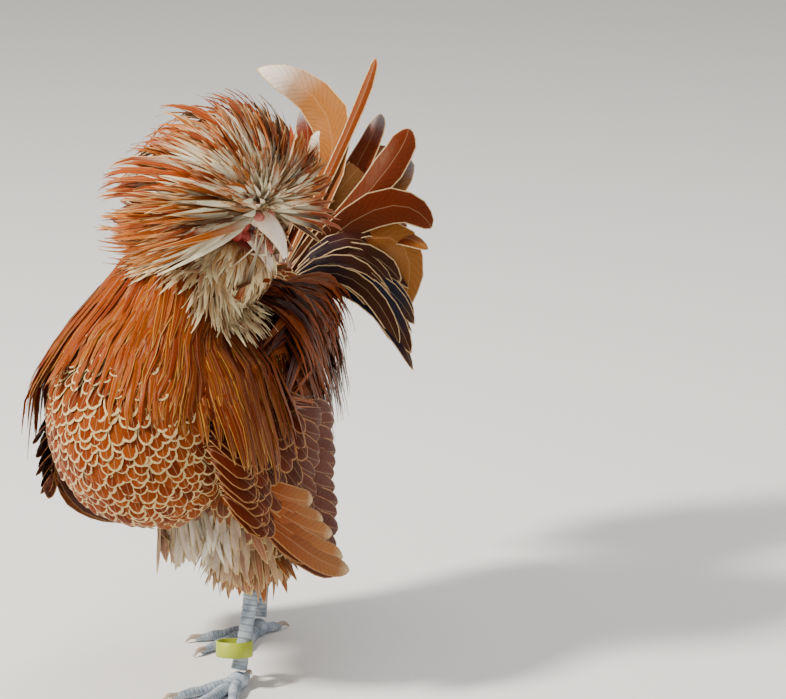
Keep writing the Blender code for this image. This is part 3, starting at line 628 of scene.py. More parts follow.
# Body coat: scalloped red feathers with cream edges on breast, flanks, belly, back and thighs
bodyCoat = {"spacing": 0.0055, "length": 0.0178, "width": 0.0118, "lace": 0.0012, "base": 0.0004,
            "rise": 0.0036, "whiteReach": 0.024, "bottom": 0.080, "top": 0.335, "collar": 0.285,
            "ground": tone(186, 74, 16), "deep": tone(118, 36, 10), "bright": tone(216, 108, 34),
            "edging": tone(246, 212, 150), "pale": tone(240, 214, 172), "white": tone(244, 236, 220)}
whitePatch = Vector((0.034, -0.030, 0.116))


def bodyField(place):
    # feathers point down the breast, then backwards along the flanks and belly
    front = float(ease(0.0, 1.0, (-0.050 - place.y) / 0.06))
    if place.z < 0.165 and place.y > -0.06:
        return Vector((0, 0.35, -1))
    return Vector((0, 0.30, -1)) * front + Vector((0, 1, -0.55)) * (1 - front)


def onBody(place, _):
    if not bodyCoat["bottom"] <= place.z <= bodyCoat["top"]:
        return False
    x, y, radius = neckMiddle(max(place.z, neckRows[0][2]))
    inNeck = place.z > bodyCoat["collar"] and math.hypot(place.x - x, place.y - y) < radius + 0.01
    return not inNeck and (place - beardMiddle).length > 0.030


def makeBodyCoat(settings):
    draw = random.Random(3)
    coat = Coat("scale")
    for root in scatter(skin, onBody, settings["spacing"], 12):
        low = float(ease(0.175, 0.110, root.z)) if root.y > -0.07 else 0.0
        size = (1 + 0.10 * low) * draw.uniform(0.88, 1.12) * (0.82 if root.z > 0.25 and root.y < 0 else 1)
        lean = shaken(draw, 0.10)
        rise = settings["rise"] * draw.uniform(0.7, 1.25) * (1 + 1.6 * low)
        length = settings["length"] * size
        path, looks = layOn(skinTree, root, lambda p: bodyField(p).normalized() + lean, length, coat.stops,
                            settings["base"], rise)
        tilt = shaken(draw, 0.05)
        looks = [(look + tilt).normalized() for look in looks]
        ground = blendTones(shaded(settings, draw, 0.5, 1.5), settings["pale"], 0.30 * low * draw.random())
        white = math.exp(-((root - whitePatch).length / settings["whiteReach"]) ** 2)
        ground = blendTones(ground, settings["white"], white)
        colours = blendTones(ground * 0.72, ground, np.clip(coat.stops * 1.1, 0, 1))
        edging = settings["edging"] * draw.uniform(0.85, 1.05)
        coat.add(path, looks, settings["width"] * size, colours, edging,
                 settings["lace"] * draw.uniform(0.6, 1.15) * size, bodyUnwrap(root))
    return coat.build("body_coat", bodyFinish, 5)


bodyFinish = featherFinish("laced feathers", 0.50, 9000, 0.20, 0.10)
standOnSolids(makeBodyCoat(bodyCoat), "laced_plumage")

# Wings: a curved shell, its arm, and the rows of flight feathers and coverts
wingShell = {"bulge": (0.094, -0.030, 0.175), "along": 0.6, "up": 2.0, "flare": 0.13, "rightIn": 0.008,
             "rightUp": 0.014, "thickness": 0.0065}
wingArm = [(-0.056, 0.262), (-0.070, 0.236), (-0.073, 0.196), (-0.064, 0.168), (-0.040, 0.158),
           (-0.012, 0.172), (0.006, 0.200), (0.008, 0.232), (-0.010, 0.258), (-0.036, 0.268)]
wingTones = {"dark": tone(112, 42, 18), "rufous": tone(134, 50, 20), "orange": tone(206, 96, 30),
             "buff": tone(222, 138, 66), "pale": tone(242, 208, 154), "edging": tone(214, 150, 92)}
# Rows: first and last root, first and last tip, count, width, height over the shell, root and tip tone, lace
wingRows = [
    ((-0.052, 0.160), (0.000, 0.224), (0.052, 0.082), (0.073, 0.200), 13, 0.0200, -0.0034, "dark", "rufous",
     0.0009),
    ((-0.060, 0.172), (-0.004, 0.232), (0.004, 0.104), (0.050, 0.204), 12, 0.0180, 0.0002, "dark", "rufous",
     0.0009),
    ((-0.052, 0.176), (-0.054, 0.156), (0.012, 0.145), (0.056, 0.080), 5, 0.0175, 0.0044, "orange", "buff",
     0.0010),
]
armCoat = {"spacing": 0.0088, "length": 0.0270, "width": 0.0165, "lace": 0.0009, "base": -0.0010,
           "rise": 0.0055, "way": Vector((0.55, -0.83)).normalized(), "edgeCount": 33, "tuck": 0.013}
# How near a point is to a wing: none at the first value and all at the second, along, in height and outwards
nearWing = {"front": (-0.094, -0.070), "back": (0.095, 0.060), "top": (0.280, 0.252), "out": (0.036, 0.070)}


def onShell(side, y, z, outward=0.0):
    bulge = wingShell["bulge"]
    rise = z - bulge[2]
    x = bulge[0] + outward - wingShell["flare"] * rise - wingShell["along"] * (y - bulge[1]) ** 2
    if rise > 0:
        x -= wingShell["up"] * rise ** 2
    return Vector((x, y, z)) if side > 0 else Vector((wingShell["rightIn"] - x, y, z))


def shellLook(side, y, z):
    along = onShell(side, y + 0.001, z) - onShell(side, y, z)
    up = onShell(side, y, z + 0.001) - onShell(side, y, z)
    return (along.cross(up) * side).normalized()


def overWing(point, clear):
    # carries a point out over the wing that it would pass behind
    side = 1 if point.x > 0 else -1
    near = ease(*nearWing["front"], point.y) * ease(*nearWing["back"], point.y)
    near *= ease(*nearWing["top"], point.z)
    near *= ease(*nearWing["out"], abs(point.x))
    short = max(0.0, (onShell(side, point.y, point.z, clear).x - point.x) * side)
    return point + Vector((short * float(near) * side, 0, 0))


def makeArmCoat(side, name):
    # coverts all over the arm, pointing to the wing's tip
    draw = random.Random(60 + side)
    coat = Coat("scale")
    settings = armCoat
    roots = scatter(wingArms[side], lambda p, n: n.x * side > 0.1, settings["spacing"], 14)
    for i in range(settings["edgeCount"]):
        height = 0.160 + 0.100 * (i // 3) / (settings["edgeCount"] // 3)
        roots.append(Vector((0, -0.081 + 0.005 * (i % 3) + 0.25 * abs(height - 0.205), height)))
    rise = settings["rise"] * (1 if side > 0 else 0.5)
    for root in roots:
        length = settings["length"] * draw.uniform(0.85, 1.15)
        way = Matrix.Rotation(draw.gauss(0, 0.10), 2) @ settings["way"]
        tuck = settings["tuck"] * float(ease(-0.058, -0.074, root.y))
        path = []
        looks = []
        for t in coat.stops:
            y, z = Vector((root.y, root.z)) + way * (length * t)
            path.append(onShell(side, y, z, settings["base"] + rise * t ** 0.8 - tuck * (1 - t) ** 1.6))
            looks.append(shellLook(side, y, z))
        ground = blendTones(wingTones["dark"], wingTones["rufous"], draw.random()) * draw.uniform(0.8, 1.3)
        place = ((root.y + 0.08) / 0.12 * 0.9, (root.z - 0.15) / 0.13 * 0.9)
        colours = blendTones(ground * 0.7, ground, coat.stops)
        coat.add(path, looks, settings["width"] * draw.uniform(0.9, 1.1), colours, wingTones["edging"],
                 settings["lace"], place)
    return coat.build(name, wingFinish, 15)


fluffCoat = {"count": 520, "across": (0.004, 0.066), "along": (-0.048, 0.030), "heights": (0.096, 0.144),
             "width": (0.0045, 0.0075), "lace": 0.0004, "whiteReach": 0.022}


def makeFluff(settings, tones):
    # long soft feathers that hang from the belly and the left thigh's top over the leg
    draw = random.Random(77)
    coat = Coat("lance")
    for _ in range(settings["count"]):
        start = Vector([draw.uniform(*settings[key]) for key in ("across", "along", "heights")])
        spot, normal, _, _ = skinTree.find_nearest(start)
        root = spot - normal * 0.001
        tip = root + normal * draw.uniform(0.006, 0.014)
        tip += Vector((draw.gauss(0, 0.005), draw.gauss(0.004, 0.005), -draw.uniform(0.017, 0.031)))
        path = pushedOut(curved(root, root.lerp(tip, 0.4) + normal * 0.007, tip, coat.stops), [skinTree], 0.003)
        look = Matrix.Rotation(draw.gauss(0, 0.5), 3, "Z") @ (normal + Vector((0, 0, 0.3))).normalized()
        white = math.exp(-((root + Vector((0, 0, -0.02)) - whitePatch).length / settings["whiteReach"]) ** 2)
        ground = blendTones(tones["bright"], tones["pale"], 0.6 * draw.random())
        ground = blendTones(ground, tones["white"], min(1, white * 1.5))
        coat.add(path, look, draw.uniform(*settings["width"]), blendTones(ground * 0.8, ground, coat.stops),
                 tones["edging"], settings["lace"], bodyUnwrap(root))
    return coat.build("belly_fluff", bodyFinish, 16)


standOnSolids(makeFluff(fluffCoat, bodyCoat), "laced_plumage")


def makeWingArm(side, name):
    outline = smoothRows(wingArm + wingArm[:1], 49)[:-1]
    middle = outline.mean(axis=0)
    count = len(outline)
    bm = bmesh.new()
    edges = []
    for inward in (0.0, wingShell["thickness"]):
        rings = [[bm.verts.new(onShell(side, *(middle + (p - middle) * share), -inward)) for p in outline]
                 for share in (0.86, 0.6, 0.3)]
        centre = bm.verts.new(onShell(side, *middle, -inward))
        for low, high in zip(rings, rings[1:]):
            joinRings(bm, low, high)
        for i in range(count):
            bm.faces.new((rings[-1][i], rings[-1][(i + 1) % count], centre))
        edges.append(rings[0])
    for i in range(count):
        j = (i + 1) % count
        bm.faces.new((edges[0][i], edges[1][i], edges[1][j], edges[0][j]))
    return finishMesh(name, bm, armFinish)


def makeWingCoat(side, name):
    draw = random.Random(40 + side)
    coat = Coat("flight")
    under = -0.0034     # the roots lie this far inside the shell
    for first, last, firstTip, lastTip, count, width, outward, rootTone, tipTone, lace in wingRows:
        for i in range(count):
            share = i / (count - 1)
            root = Vector(first).lerp(Vector(last), share)
            tip = Vector(firstTip).lerp(Vector(lastTip), share)
            tip += Vector((draw.uniform(-0.003, 0.003), draw.uniform(-0.003, 0.003)))
            if side < 0:
                tip.y += wingShell["rightUp"]
            sag = Vector((tip.y - root.y, root.x - tip.x)) * 0.06
            way = (onShell(side, *tip) - onShell(side, *root)).normalized()
            turn = Matrix.Rotation(math.radians(draw.uniform(5, 10)) * side, 3, way)
            path = []
            looks = []
            for t in coat.stops:
                spot = root.lerp(tip, t) + sag * (4 * t * (1 - t))
                lift = under + (outward - under) * min(t / 0.36, 1) + draw.uniform(-0.00015, 0.00015)
                path.append(onShell(side, *spot, lift))
                looks.append(turn @ shellLook(side, *spot))
            start = wingTones[rootTone] * draw.uniform(0.75, 1.1)
            end = wingTones[tipTone] * draw.uniform(0.85, 1.15)
            colours = blendTones(start, end, ease(0.15, 0.95, coat.stops))
            if tipTone == "buff":
                colours = blendTones(colours, wingTones["pale"], ease(0.86, 1.0, coat.stops))
            place = ((root.x + 0.08) / 0.2 + 0.1, (root.y - 0.1) / 0.2)
            coat.add(path, looks, width * draw.uniform(0.92, 1.08), colours, wingTones["edging"], lace, place)
    return coat.build(name, wingFinish, 8)


def underFeathers():
    f = Finish("wing under feathers")
    toned = f.mix(f.noise(160), tone(92, 36, 16), tone(140, 58, 24))
    return f.close(toned, 0.6, f.bump(f.noise(500), 0.4, 0.0005))


armFinish = underFeathers()
wingFinish = featherFinish("wing feathers", 0.38, 7000, 0.20, 0.16)
sides = {1: "left", -1: "right"}
wingArms = {side: makeWingArm(side, "wing_arm_" + sideName) for side, sideName in sides.items()}
wingTrees = [treeOf(arm) for arm in wingArms.values()]
for side, sideName in sides.items():
    coverts = makeArmCoat(side, "wing_coverts_" + sideName)
    feathers = makeWingCoat(side, "wing_feathers_" + sideName)
    for piece in (coverts, feathers, wingArms[side]):
        standOnSolids(piece, "flight_plumage", "wing_" + sideName)
print("wings made")


# Hackle: long glossy pointed feathers that hang from the neck as an open bell
hackleCoat = {"spacing": 0.0033, "width": 0.0066, "lace": 0.0006, "ground": tone(196, 72, 4),
              "deep": tone(128, 34, 4), "bright": tone(232, 118, 16), "edging": tone(252, 184, 84),
              "middle": 0.280, "layerDepth": 0.038, "tips": 0.186, "lowestTip": 0.166, "overLeftWing": 0.0085,
              "overRightWing": 0.0040, "bottom": 0.262, "top": 0.352}
bellRows = [(0.150, 0.104), (0.200, 0.099), (0.225, 0.094), (0.245, 0.086), (0.280, 0.068), (0.310, 0.050),
            (0.350, 0.030)]
throatWay = Vector((0.80, -0.60, 0))


def bellRadius(height):
    heights, radii = zip(*bellRows)
    return float(np.interp(height, heights, radii))


def onNeck(place, _):
    if not hackleCoat["bottom"] <= place.z <= hackleCoat["top"]:
        return False
    x, y, radius = neckMiddle(place.z)
    if math.hypot(place.x - x, place.y - y) > radius + 0.004:
        return False
    return (place - beardMiddle).length > 0.026


def makeHackle(settings):
    draw = random.Random(21)
    coat = Coat("lance")
    for root in scatter(skin, onNeck, settings["spacing"], 31):
        x, y, _ = neckMiddle(root.z)
        out = Vector((root.x - x, root.y - y, 0)).normalized()
        out = Matrix.Rotation(draw.gauss(0, 0.08), 3, "Z") @ out
        throat = max(0.0, out.dot(throatWay)) ** 2
        rise = root.z - settings["middle"]
        layer = rise / settings["layerDepth"]
        low = settings["tips"] + rise * 0.9 + 0.022 * max(0, out.y) + draw.gauss(0, 0.010)
        low += 0.040 * max(0, 0.25 * out.x - 0.97 * out.y) ** 2
        low = max(low, settings["lowestTip"]) + 0.012 * throat
        path = []
        for t in coat.stops:
            height = root.z + (low - root.z) * t ** 1.15
            cx, cy, radius = neckMiddle(height)
            wide = bellRadius(height) - 0.0045 * (2 - max(layer, 0)) - 0.022 * throat
            spread = min(1.0, t / 0.45) ** 0.8
            reach = (radius - 0.004) + (wide - radius + 0.004) * spread - 0.003 * max(0, t - 0.7) / 0.3
            path.append(Vector((cx * (1 - 0.7 * spread), cy, height)) + out * reach)
        wave = draw.uniform(-0.0022, 0.0022)
        swing = Vector((-out.y, out.x, 0))
        path = [p + swing * (wave * math.sin(3.2 * t) * t) for p, t in zip(path, coat.stops)]
        over = settings["overLeftWing"] if out.x > 0 else settings["overRightWing"]
        over = over + 0.0018 * max(layer, 0) + draw.uniform(0, 0.0015)
        path = [overWing(p, over) for p in path]
        path = pushedOut(path, [skinTree], 0.0030 + 0.0014 * max(layer, -0.5) + draw.uniform(0, 0.0012))
        look = (out + Vector((0, 0, 0.55))).normalized()
        look = Matrix.Rotation(draw.gauss(0, 0.28), 3, "Z") @ look
        # feathers facing the left side (+X) are painted darker: painted shade on that side of the neck, carried
        # into their edging too
        ground = shaded(settings, draw, 0.4, 1.1) * (1 - 0.35 * float(ease(0.55, 0.95, out.x)))
        colours = blendTones(ground * 0.7, ground, ease(0, 0.5, coat.stops))
        edging = blendTones(ground * 1.3, settings["edging"], draw.random() ** 2)
        coat.add(path, look, settings["width"] * draw.uniform(0.75, 1.25), colours, edging, settings["lace"],
                 neckUnwrap(root))
    return coat.build("hackle", hackleFinish, 9)


hackleFinish = featherFinish("hackle feathers", 0.30, 9000, 0.12, 0.22)
standOnSolids(makeHackle(hackleCoat), "hackle_plumage", "neck")
print("hackle made")


# Saddle: long soft feathers from the back, hanging over the flanks behind the wings
# deep is a blue-black: painted shade with a painted blue sheen of the sky on the darker saddle feathers
saddleCoat = {"perSide": 330, "width": 0.0062, "lace": 0.0004, "ground": tone(96, 36, 18),
              "deep": tone(26, 28, 48), "bright": tone(214, 96, 20)}


def makeSaddle(settings):
    draw = random.Random(8)
    coat = Coat("lance")
    trees = [skinTree, *wingTrees]
    for side in (1, -1):
        for _ in range(settings["perSide"]):
            share = draw.random()
            layer = draw.random()
            start = Vector((side * (0.044 - 0.020 * share) * (0.5 + 0.6 * layer),
                            -0.004 + 0.012 * (1 - layer) + (0.100 + 0.012 * layer) * share, 0.300))
            spot, normal, _, _ = skinTree.find_nearest(start)
            root = spot - normal * 0.001
            tip = Vector((side * (0.086 - 0.030 * share), 0.040 + 0.092 * share + draw.gauss(0, 0.006),
                          0.166 + 0.080 * layer + 0.02 * share + draw.gauss(0, 0.010)))
            middle = root.lerp(tip, 0.5) + Vector((side * 0.022, 0.004, 0.022))
            path = pushedOut(curved(root, middle, tip, coat.stops), trees, 0.002 + 0.0045 * layer)
            looks = [skinTree.find_nearest(p)[1] for p in path]
            # about half the feathers lean towards the blue-black deep tone, the painted shade and sheen
            ground = shaded(settings, draw, 0.5, 1.6)
            end = blendTones(ground, settings["bright"], draw.random())
            colours = blendTones(ground * 0.8, end, ease(0.5, 1, coat.stops))
            coat.add(path, looks, settings["width"] * draw.uniform(0.8, 1.25), colours, end * 1.3,
                     settings["lace"], bodyUnwrap(root))
    return coat.build("saddle", hackleFinish, 10)


standOnSolids(makeSaddle(saddleCoat), "hackle_plumage")

# Tail: broad feathers from one root, each with a tone at its root, body and end
tailRoot = Vector((0.0, 0.117, 0.270))
# dark is a blue-black: painted shade with a painted blue sheen of the sky on the dark coverts
tailTones = {"buff": tone(214, 134, 60), "white": tone(248, 238, 220), "rufous": tone(158, 60, 22),
             "grey": tone(150, 140, 140), "dark": tone(26, 30, 54), "brown": tone(84, 34, 16),
             "cream": tone(236, 198, 148), "orange": tone(198, 92, 32)}
# Single feathers: middle, tip, width, tones at root, body and end
sickles = [
    ((0.000, 0.205, 0.374), (-0.067, 0.198, 0.425), 0.035, "rufous", "buff", "white"),
    ((-0.005, 0.190, 0.335), (-0.017, 0.205, 0.379), 0.026, "rufous", "buff", "white"),
    ((0.013, 0.205, 0.382), (0.010, 0.250, 0.433), 0.009, "orange", "orange", "orange"),
    ((0.016, 0.200, 0.344), (0.021, 0.240, 0.391), 0.020, "dark", "rufous", "grey"),
    ((0.040, 0.200, 0.343), (0.049, 0.235, 0.383), 0.023, "rufous", "rufous", "rufous"),
    ((0.038, 0.190, 0.320), (0.051, 0.235, 0.358), 0.024, "rufous", "buff", "grey"),
    ((0.041, 0.190, 0.310), (0.046, 0.235, 0.333), 0.023, "rufous", "buff", "grey"),
    ((0.053, 0.180, 0.329), (0.082, 0.215, 0.311), 0.027, "brown", "rufous", "rufous"),
    ((0.044, 0.180, 0.306), (0.082, 0.210, 0.295), 0.016, "brown", "rufous", "buff"),
    ((0.060, 0.190, 0.305), (0.056, 0.215, 0.242), 0.028, "rufous", "buff", "buff"),
    ((0.048, 0.180, 0.289), (0.059, 0.200, 0.226), 0.024, "brown", "buff", "rufous"),
    ((-0.030, 0.190, 0.350), (-0.082, 0.200, 0.372), 0.030, "rufous", "buff", "white"),
    ((-0.040, 0.186, 0.336), (-0.088, 0.206, 0.330), 0.027, "brown", "rufous", "rufous"),
    ((-0.046, 0.180, 0.316), (-0.084, 0.208, 0.292), 0.026, "brown", "buff", "buff"),
    ((-0.020, 0.196, 0.352), (-0.050, 0.234, 0.388), 0.024, "rufous", "rufous", "grey"),
]
# Fans: count, first and last tip, width, lift of the middle, tones at root, body and end
tailFans = [
    (5, (-0.060, 0.206, 0.322), (-0.020, 0.250, 0.360), 0.024, (0, 0, 0.026), "rufous", "buff", "grey"),
    (5, (0.022, 0.246, 0.362), (0.056, 0.230, 0.286), 0.022, (0, 0, 0.030), "brown", "buff", "rufous"),
    (8, (-0.094, 0.196, 0.268), (-0.062, 0.246, 0.330), 0.018, (0, -0.004, 0.050), "brown", "rufous", "rufous"),
    # fans that start in the dark tone carry its painted shade and painted blue sheen
    (12, (0.052, 0.228, 0.290), (0.086, 0.176, 0.210), 0.018, (0.006, -0.006, 0.052), "dark", "dark", "brown"),
    (12, (0.050, 0.210, 0.296), (0.082, 0.164, 0.226), 0.015, (0.008, -0.010, 0.052), "dark", "brown", "brown"),
    (16, (-0.030, 0.160, 0.312), (0.042, 0.150, 0.246), 0.014, (0, -0.014, 0.012), "brown", "grey", "white"),
    (10, (-0.052, 0.214, 0.300), (-0.080, 0.172, 0.240), 0.016, (-0.004, -0.006, 0.046), "dark", "brown",
     "rufous"),
]


def tailStart(tip):
    return tailRoot + Vector((tip.x * 0.10, 0.006, 0.010))


def tailPaths(draw):
    # every tail feather as root, middle, tip, width and tones
    found = []
    for middle, tip, width, *tones in sickles:
        tip = Vector(tip)
        root = tailStart(tip)
        found.append((root, Vector(middle) * 2 - (root + tip) / 2, tip, width, tones))
    for count, first, last, width, bulge, *tones in tailFans:
        for i in range(count):
            tip = Vector(first).lerp(Vector(last), i / (count - 1))
            tip += Vector([draw.uniform(-0.005, 0.005) for _ in range(3)])
            root = tailStart(tip) + (tip - tailRoot).normalized() * 0.004
            middle = root.lerp(tip, 0.55) + Vector(bulge) * draw.uniform(0.8, 1.2)
            middle += Vector((tip.x * 0.12, 0, 0))
            found.append((root, middle, tip, width, tones))
    return found


def makeTail():
    draw = random.Random(5)
    coat = Coat("flight")
    for root, middle, tip, width, tones in tailPaths(draw):
        rootTone, bodyTone, endTone = [tailTones[key] for key in tones]
        out = (tip - tailRoot).normalized()
        broad = Vector((0.25 + tip.x * 5, -0.75, 0.45)).normalized()
        spread = Vector((math.copysign(0.6, tip.x), -0.1, 0.7))
        turn = Matrix.Rotation(draw.gauss(0, 0.22), 3, out)
        twist = draw.uniform(-0.5, 0.5)
        looks = [Matrix.Rotation(twist * t, 3, out) @ turn @ broad.lerp(spread, t * 0.4).normalized()
                 for t in coat.stops]
        light = draw.uniform(0.75, 1.15)
        colours = blendTones(rootTone * light, bodyTone * light, ease(0.1, 0.6, coat.stops))
        colours = blendTones(colours, endTone, ease(0.80, 0.97, coat.stops))
        place = ((tip.x + 0.1) * 4.5, (tip.z - 0.2) * 3.8)
        coat.add(curved(root, middle, tip, coat.stops), looks, width * draw.uniform(0.95, 1.05), colours,
                 tailTones["cream"], 0.0009, place)
    return coat.build("tail_feathers", wingFinish, 11)


def makeStump():
    bm = bmesh.new()
    axes = (Vector((1, 0, 0)), Vector((0, 0.8, 0.6)), Vector((0, -0.6, 0.8)))
    ballInto(bm, tailRoot + Vector((0, 0.010, 0.006)), axes, (0.015, 0.022, 0.011))
    return finishMesh("tail_stump", bm, armFinish)


standOnSolids(makeTail(), "flight_plumage", "tail")
standOnSolids(makeStump(), "flight_plumage", "tail")
print("tail made")


# Crest: feathers that spread from the skull in every direction, cream at the root and orange outwards
crestCoat = {"locks": 260, "perLock": 12, "whorl": 60, "whorlLength": 0.020, "top": 0.054, "side": 0.093,
             "back": 0.110, "front": 0.044, "droop": 0.34, "lean": 98, "leanChange": 24, "width": 0.0048,
             "lace": 0.0005, "paleReach": 0.058, "cream": tone(255, 244, 210), "ground": tone(214, 80, 6),
             "deep": tone(140, 42, 8), "bright": tone(244, 138, 36), "dark": tone(92, 42, 22),
             "edging": tone(248, 200, 136)}
crestRoot = inHead(0.013, 0, 0.008)     # the feathers fan out from just above the comb
crestHub = inHead(-0.002, 0, 0.004)
faceRoom = {"middle": inHead(0.002, 0, -0.030), "radii": (0.046, 0.052, 0.046)}


def makeFaceTree():
    bm = bmesh.new()
    ballInto(bm, faceRoom["middle"], headAxes, faceRoom["radii"], 32, 20)
    tree = BVHTree.FromBMesh(bm)
    bm.free()
    return tree


def lockTones(settings, draw, facing, leftward):
    # most locks are orange, some in front cream and a few dark; dark ones are much likelier on the left, as
    # painted shade on that side
    shown = shaded(settings, draw, 0.4, 1.2)
    if draw.random() < 0.06 + 0.20 * max(0, facing):
        shown = settings["cream"] * 0.85
    # the extra dark locks towards the left (leftward) are painted shade
    if draw.random() < 0.05 + 0.25 * max(0, leftward):
        shown = settings["dark"]
    return shown


def makeCrest(settings):
    draw = random.Random(33)
    coat = Coat("lance")
    faceTree = makeFaceTree()
    startWay = (crestRoot - crestHub).normalized()
    startReach = (crestRoot - crestHub).length
    goldenTurn = math.pi * (3 - math.sqrt(5))
    for i in range(settings["locks"]):
        facing = math.cos(i * goldenTurn)
        leftward = math.sin(i * goldenTurn)
        widest = math.radians(settings["lean"] - settings["leanChange"] * facing)
        lean = math.acos(1 - (i + 0.5) / settings["locks"] * (1 - math.cos(widest)))
        lockWay = headUp * math.cos(lean) + (headForward * facing + headLeft * leftward) * math.sin(lean)
        if facing * math.sin(lean) > 0.12 and math.cos(lean) < 0.55:
            continue        # none hang over the bill
        sideways = (settings["front"] if facing > 0 else settings["back"]) * facing ** 2
        sideways += settings["side"] * (1 - facing ** 2)
        full = settings["top"] + (sideways - settings["top"]) * math.sin(lean) ** 1.5
        full *= draw.uniform(0.86, 1.05)
        lockTone = lockTones(settings, draw, facing, leftward)
        for _ in range(settings["perLock"]):
            way = (lockWay + shaken(draw, 0.075)).normalized()
            length = full * (1.03 - 0.28 * draw.random() ** 2)
            begin = draw.uniform(0, 0.55)
            rootReach = startReach + 0.012 * min(1, 3 * begin)
            lift = draw.uniform(0.75, 2.2)
            path = []
            for t in coat.stops:
                heading = startWay.slerp(way, begin + (1 - begin) * t ** 0.85)
                reach = rootReach + (length - rootReach) * t ** lift
                drop = settings["droop"] * length * math.sin(lean) ** 4 * t ** 2
                path.append(crestHub + heading * reach - Vector((0, 0, drop)))
            path = pushedOut(path, [faceTree], 0.002)
            along = (path[-1] - path[1]).normalized()
            outward = (path[4] - crestHub).normalized()
            look = (outward - along * outward.dot(along)).normalized()
            look = Matrix.Rotation(draw.gauss(0, 0.45), 3, along) @ look
            far = np.array([(p - crestRoot).length for p in path])
            paleTo = settings["paleReach"] * draw.uniform(0.55, 1.35) * (1 - 0.35 * max(0, leftward))
            outer = lockTone * draw.uniform(0.8, 1.2)
            colours = blendTones(settings["cream"] * draw.uniform(0.8, 1), outer,
                                 ease(paleTo - 0.012, paleTo + 0.012, far))
            edging = blendTones(outer * 1.2, settings["edging"], draw.random() ** 1.6)
            coat.add(path, look, settings["width"] * draw.uniform(0.7, 1.25), colours, edging, settings["lace"],
                     headUnwrap(path[0]))
    root = crestRoot - startWay * 0.004
    for _ in range(settings["whorl"]):       # short pale ones close the middle, above the comb
        way = (startWay * 0.6 + headUp + shaken(draw, 0.4)).normalized()
        path = [root + way * settings["whorlLength"] * t for t in coat.stops]
        look = (startWay - way * startWay.dot(way)).normalized()
        colours = blendTones(settings["cream"], settings["cream"] * 0.9, ease(0, 1, coat.stops))
        coat.add(path, look, settings["width"] * 0.7, colours, settings["edging"], settings["lace"],
                 headUnwrap(root))
    return coat.build("crest_feathers", crestFinish, 12)


crestFinish = featherFinish("crest feathers", 0.45, 11000, 0.08, 0.10)
standOnSolids(makeCrest(crestCoat), "crest_plumage", "crest")
print("crest made")


# Beard and muffs: short soft tufts that sweep away from the mouth over cheeks and throat
beardCoat = {"spacing": 0.0019, "width": 0.0034, "lace": 0.0003, "base": 0.0002, "bare": 0.0172,
             "cream": tone(255, 234, 182), "buff": tone(236, 166, 88), "orange": tone(206, 88, 24),
             "edging": tone(252, 234, 196), "reaches": (0.010, 0.030, 0.050), "lengths": (0.010, 0.026, 0.040)}
mouthSpot = inHead(0.024, 0, -0.003)


def onBeard(place, _):
    forward, _, up = headShares(place)
    if (place - mouthSpot).length < beardCoat["bare"]:
        return False
    onFace = forward > -0.026 and up < 0.010 and place.z > 0.33
    return onFace or (place - beardMiddle).length < 0.029


def beardField(place):
    away = (place - mouthSpot).normalized()
    return away * 0.9 + Vector((0, 0, -0.75)) - headForward * 0.15


def makeBeard(settings):
    draw = random.Random(17)
    coat = Coat("tuft")
    for root in scatter(skin, onBeard, settings["spacing"], 18):
        far = (root - mouthSpot).length
        length = float(np.interp(far, settings["reaches"], settings["lengths"])) * draw.uniform(0.8, 1.2)
        lean = shaken(draw, 0.16)
        path, looks = layOn(skinTree, root, lambda p: beardField(p).normalized() + lean, length, coat.stops,
                            settings["base"], length * draw.uniform(0.16, 0.45))
        turn = Matrix.Rotation(draw.gauss(0, 0.5), 3, (path[-1] - path[0]).normalized())
        inner = blendTones(settings["orange"], settings["buff"], draw.random())
        outer = blendTones(inner, settings["cream"], min(1, 1.3 * draw.random() ** 0.8))
        colours = blendTones(inner, outer * draw.uniform(0.9, 1.05), ease(0.15, 0.80, coat.stops))
        coat.add(path, [turn @ look for look in looks], settings["width"] * draw.uniform(0.7, 1.3), colours,
                 blendTones(outer, settings["edging"], 0.5), settings["lace"], headUnwrap(root))
    return coat.build("beard_tufts", crestFinish, 13)


standOnSolids(makeBeard(beardCoat), "crest_plumage", "beard")
print("beard made")


# Skin finish: bare red round the mouth, and the coat's own tones elsewhere
skinTones = {"face": tone(214, 160, 104), "mouth": tone(186, 44, 34), "neck": tone(150, 52, 16),
             "thighs": tone(190, 120, 70), "body": tone(122, 42, 16), "grain": tone(96, 24, 18)}


def skinTone(place):
    if place.z > 0.345 or (place - beardMiddle).length < 0.030:
        near = float(ease(0.024, 0.013, (place - mouthSpot).length))
        return blendTones(skinTones["face"], skinTones["mouth"], near)
    if place.z > 0.27:
        return skinTones["neck"]
    return skinTones["thighs" if place.z < 0.15 else "body"]


def finishSkin():
    colours = np.array([(*skinTone(vertex.co), 1) for vertex in skin.data.vertices], dtype=np.float32)
    layer = skin.data.attributes.new("marks", "FLOAT_COLOR", "POINT")
    layer.data.foreach_set("color", colours.ravel())
    f = Finish("skin")
    grain = f.noise(900, 4)
    toned = f.mix(grain * 0.35, f.attribute("marks", 0), skinTones["grain"])
    skin.data.materials.append(f.close(toned, 0.55, f.bump(grain, 0.5, 0.0006)))
    return skin


standOnSolids(finishSkin(), "laced_plumage", "torso", "neck", "head", "thigh_left", "thigh_right")

